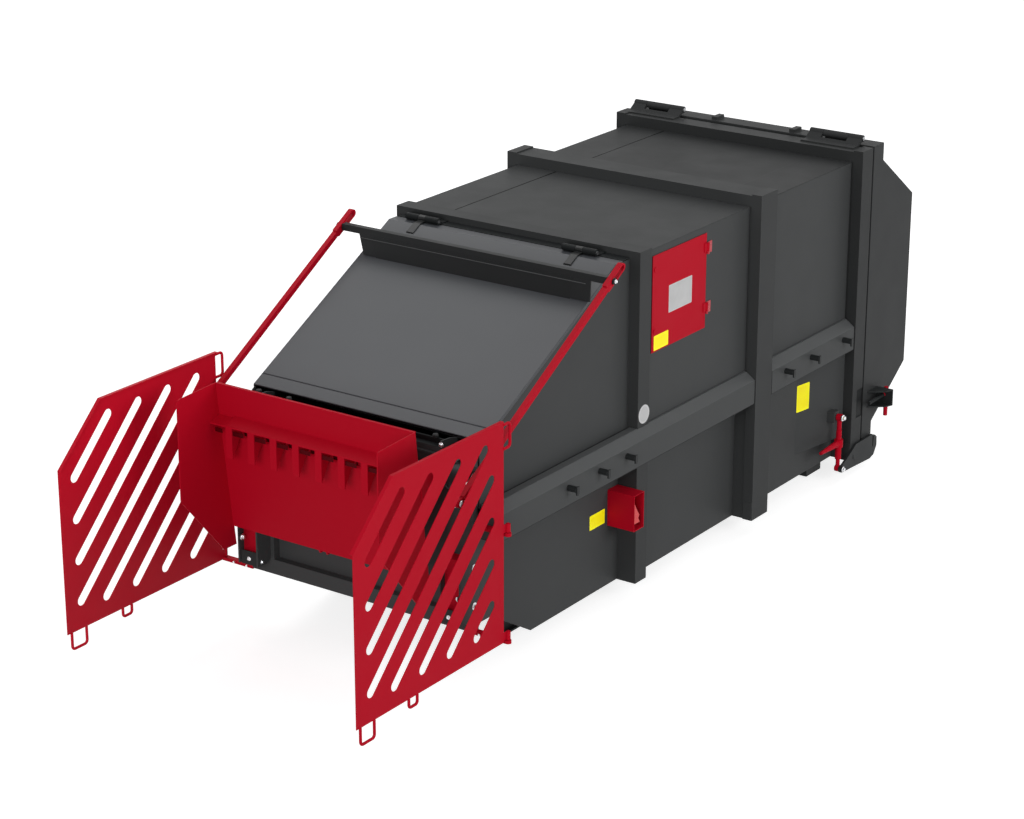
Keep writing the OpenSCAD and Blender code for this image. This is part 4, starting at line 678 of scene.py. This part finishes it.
def fork_ties():
    """The plate across the foot of each fork."""
    inner_x, outer_x, foot_z, top_z, tie_t = 0.717, 0.840, 0.457, 0.55, 0.008
    for side, s in SIDES:
        x0, x1 = sorted((s * inner_x, s * outer_x))
        bm = bmesh.new()
        block(bm, (x0, end_low.y, foot_z), (x1, end_low.y + tie_t, top_z))
        finish_piece(bm, f"fork_tie_{side}", "container", dark)


def lip_fittings():
    """The guide strap at each end of the lip, with its bolt, and the lid's two buffers."""
    lip, front, rear = end_high.z, -1.99, -1.83
    side_view = [(front, lip), (rear, lip), (rear, lip + 0.022), (-1.9, lip + 0.044), (front, lip + 0.05)]
    inner_x, bolt_x, outer_x = 0.694, 0.7, 0.706
    buffer_x, buffer_y = (0.56, 0.80), -1.856
    buffer_profile = [(0.012, 0), (0.019, 0.004), (0.019, 0.018), (0.015, 0.024)]
    for side, s in SIDES:
        bm = bmesh.new()
        loft(bm, [[(x, y, z) for y, z in side_view] for x in sorted((s * inner_x, s * outer_x))])
        finish_piece(bm, f"lip_strap_{side}", "container", dark)
        single_bolt(f"lip_bolt_{side}", "container", (s * bolt_x, front, lip + 0.026), -Y, 0.018)
        bm = bmesh.new()
        for x in buffer_x:
            turned(bm, frame_at((s * x, buffer_y, lip), Z), buffer_profile, 24)
        finish_piece(bm, f"lip_buffers_{side}", "container", rubber)


def actuator_fittings():
    """The hydraulic connection under each rotary actuator: a stub, its nut and the pipe's end."""
    x, y, z = 0.94, -1.965, actuator_low.z + 0.03
    stub_r, nut_r, pipe_r = 0.012, 0.017, 0.013
    nut_top, nut_foot, pipe_foot = 0.045, 0.065, 0.098
    for side, s in SIDES:
        m = frame_at((s * x, y, z), -Z)
        bm = bmesh.new()
        turned(bm, m, [(stub_r, 0), (stub_r, nut_top)], 24)
        turned(bm, m, [(nut_r, nut_top), (nut_r, 0.062), (0.015, nut_foot)], 6)
        turned(bm, m, [(pipe_r, nut_foot), (pipe_r, 0.095), (0.011, pipe_foot)], 24)
        finish_piece(bm, f"actuator_fitting_{side}", "container", zinc)


# ---------------------------------------------------------------- camera

CAMERA_PLACE = (9.659, -14.007, 7.231)
CAMERA_AZIMUTH, CAMERA_ELEVATION = math.radians(35.12), math.radians(19.96)
LENS, SENSOR = 96.26, 36


def place_camera():
    """The camera that was fitted to the photo's straight edges."""
    level = math.cos(CAMERA_ELEVATION)
    forward = Vector((
        -math.sin(CAMERA_AZIMUTH) * level, math.cos(CAMERA_AZIMUTH) * level, -math.sin(CAMERA_ELEVATION)))
    data = bpy.data.cameras.new("camera")
    data.lens = LENS
    data.sensor_width = SENSOR
    data.sensor_fit = "HORIZONTAL"
    data.clip_end = 200
    camera = bpy.data.objects.new("camera", data)
    camera.location = CAMERA_PLACE
    camera.rotation_euler = forward.to_track_quat("-Z", "Y").to_euler()
    scene.collection.objects.link(camera)
    scene.camera = camera


# ---------------------------------------------------------------- studio

FLOOR_HALF = 60
SOFT_LIGHT = 0.3


def seen_directly(tree):
    """1 for rays from the camera and for mirror and glass rays, 0 for the light that falls on things."""
    path = tree.nodes.new("ShaderNodeLightPath")
    total = path.outputs["Is Camera Ray"]
    for name in ("Is Glossy Ray", "Is Transmission Ray"):
        add = tree.nodes.new("ShaderNodeMath")
        add.operation = "MAXIMUM"
        tree.links.new(total, add.inputs[0])
        tree.links.new(path.outputs[name], add.inputs[1])
        total = add.outputs[0]
    return total


def lamp(name, place, target, size, power):
    """A rectangular lamp at place, turned to target."""
    data = bpy.data.lights.new(name, "AREA")
    data.shape = "RECTANGLE"
    data.size, data.size_y = size
    data.energy = power
    obj = bpy.data.objects.new(name, data)
    obj.location = place
    obj.rotation_euler = (Vector(target) - Vector(place)).to_track_quat("-Z", "Y").to_euler()
    scene.collection.objects.link(obj)


def backdrop():
    """A world that lights softly and looks white where it is seen."""
    world = bpy.data.worlds.new("studio")
    scene.world = world
    world.use_nodes = True
    t = world.node_tree
    soft = t.nodes["Background"]
    soft.inputs["Color"].default_value = (0.97, 0.98, 1.0, 1)
    soft.inputs["Strength"].default_value = SOFT_LIGHT
    plain = t.nodes.new("ShaderNodeBackground")
    plain.inputs["Color"].default_value = (1, 1, 1, 1)
    plain.inputs["Strength"].default_value = 1.0
    mix = t.nodes.new("ShaderNodeMixShader")
    t.links.new(seen_directly(t), mix.inputs["Fac"])
    t.links.new(soft.outputs["Background"], mix.inputs[1])
    t.links.new(plain.outputs["Background"], mix.inputs[2])
    t.links.new(mix.outputs["Shader"], t.nodes["World Output"].inputs["Surface"])


def floor_material():
    """Pale floor that keeps the shadow near the machine and runs out to white further away."""
    m = Nodes("floor")
    m.to("Roughness", 0.9)
    m.to("Base Color", m.mix(m.noise(2.5, 3), (0.59, 0.59, 0.59), (0.61, 0.61, 0.61)))
    m.to("Specular IOR Level", 0.0)
    glow = m.tree.nodes.new("ShaderNodeEmission")
    reach = m.tree.nodes.new("ShaderNodeVectorMath")
    reach.operation = "LENGTH"
    m.link(m.coord.outputs["Object"], reach.inputs[0])
    fade = m.tree.nodes.new("ShaderNodeMapRange")
    fade.interpolation_type = "SMOOTHSTEP"
    for name, value in (("From Min", 2.5), ("From Max", 9.0), ("To Min", 0.76), ("To Max", 1.0)):
        fade.inputs[name].default_value = value
    m.link(reach.outputs["Value"], fade.inputs["Value"])
    m.link(fade.outputs["Result"], glow.inputs["Strength"])
    add = m.tree.nodes.new("ShaderNodeAddShader")
    pick = m.tree.nodes.new("ShaderNodeMixShader")
    m.link(m.bsdf.outputs["BSDF"], add.inputs[0])
    m.link(glow.outputs["Emission"], add.inputs[1])
    m.link(seen_directly(m.tree), pick.inputs["Fac"])
    m.link(m.bsdf.outputs["BSDF"], pick.inputs[1])
    m.link(add.outputs["Shader"], pick.inputs[2])
    m.link(pick.outputs["Shader"], m.tree.nodes["Material Output"].inputs["Surface"])
    return m.mat


def studio():
    """Backdrop, four lamps, and the floor just under the machine."""
    backdrop()
    lamp("softbox", (-4.3, 0.1, 8.5), (0, -1.2, 2.0), (5, 5), 215)
    lamp("back", (2.3, 7.4, 6.7), (1.0, 0.5, 1.1), (5, 4), 94)
    lamp("side", (10, 0.5, 4.5), (0.9, 0, 1.0), (7, 4), 420)
    lamp("front", (4.0, -12, 4.5), (0.4, -1, 1.0), (6, 4), 520)
    mesh = bpy.data.meshes.new("floor")
    bm = bmesh.new()
    bmesh.ops.create_grid(bm, x_segments=6, y_segments=6, size=FLOOR_HALF)
    bm.to_mesh(mesh)
    bm.free()
    mesh.materials.append(floor_material())
    floor = bpy.data.objects.new("floor", mesh)
    floor.location = (0, 0, cad_box[0][2] - 0.0005)
    scene.collection.objects.link(floor)
    scene.view_settings.view_transform = "Standard"


# ---------------------------------------------------------------- the scene

dress()
for node in FOLDED:
    soften(node, FOLD_R)
for node in PLATES:
    soften(node, PLATE_R)
place_camera()
labels()
bolts()
crossbar_sheet()
comb_details()
roof_seam()
socket_flap()
back_lugs()
fork_ties()
lip_fittings()
actuator_fittings()
studio()
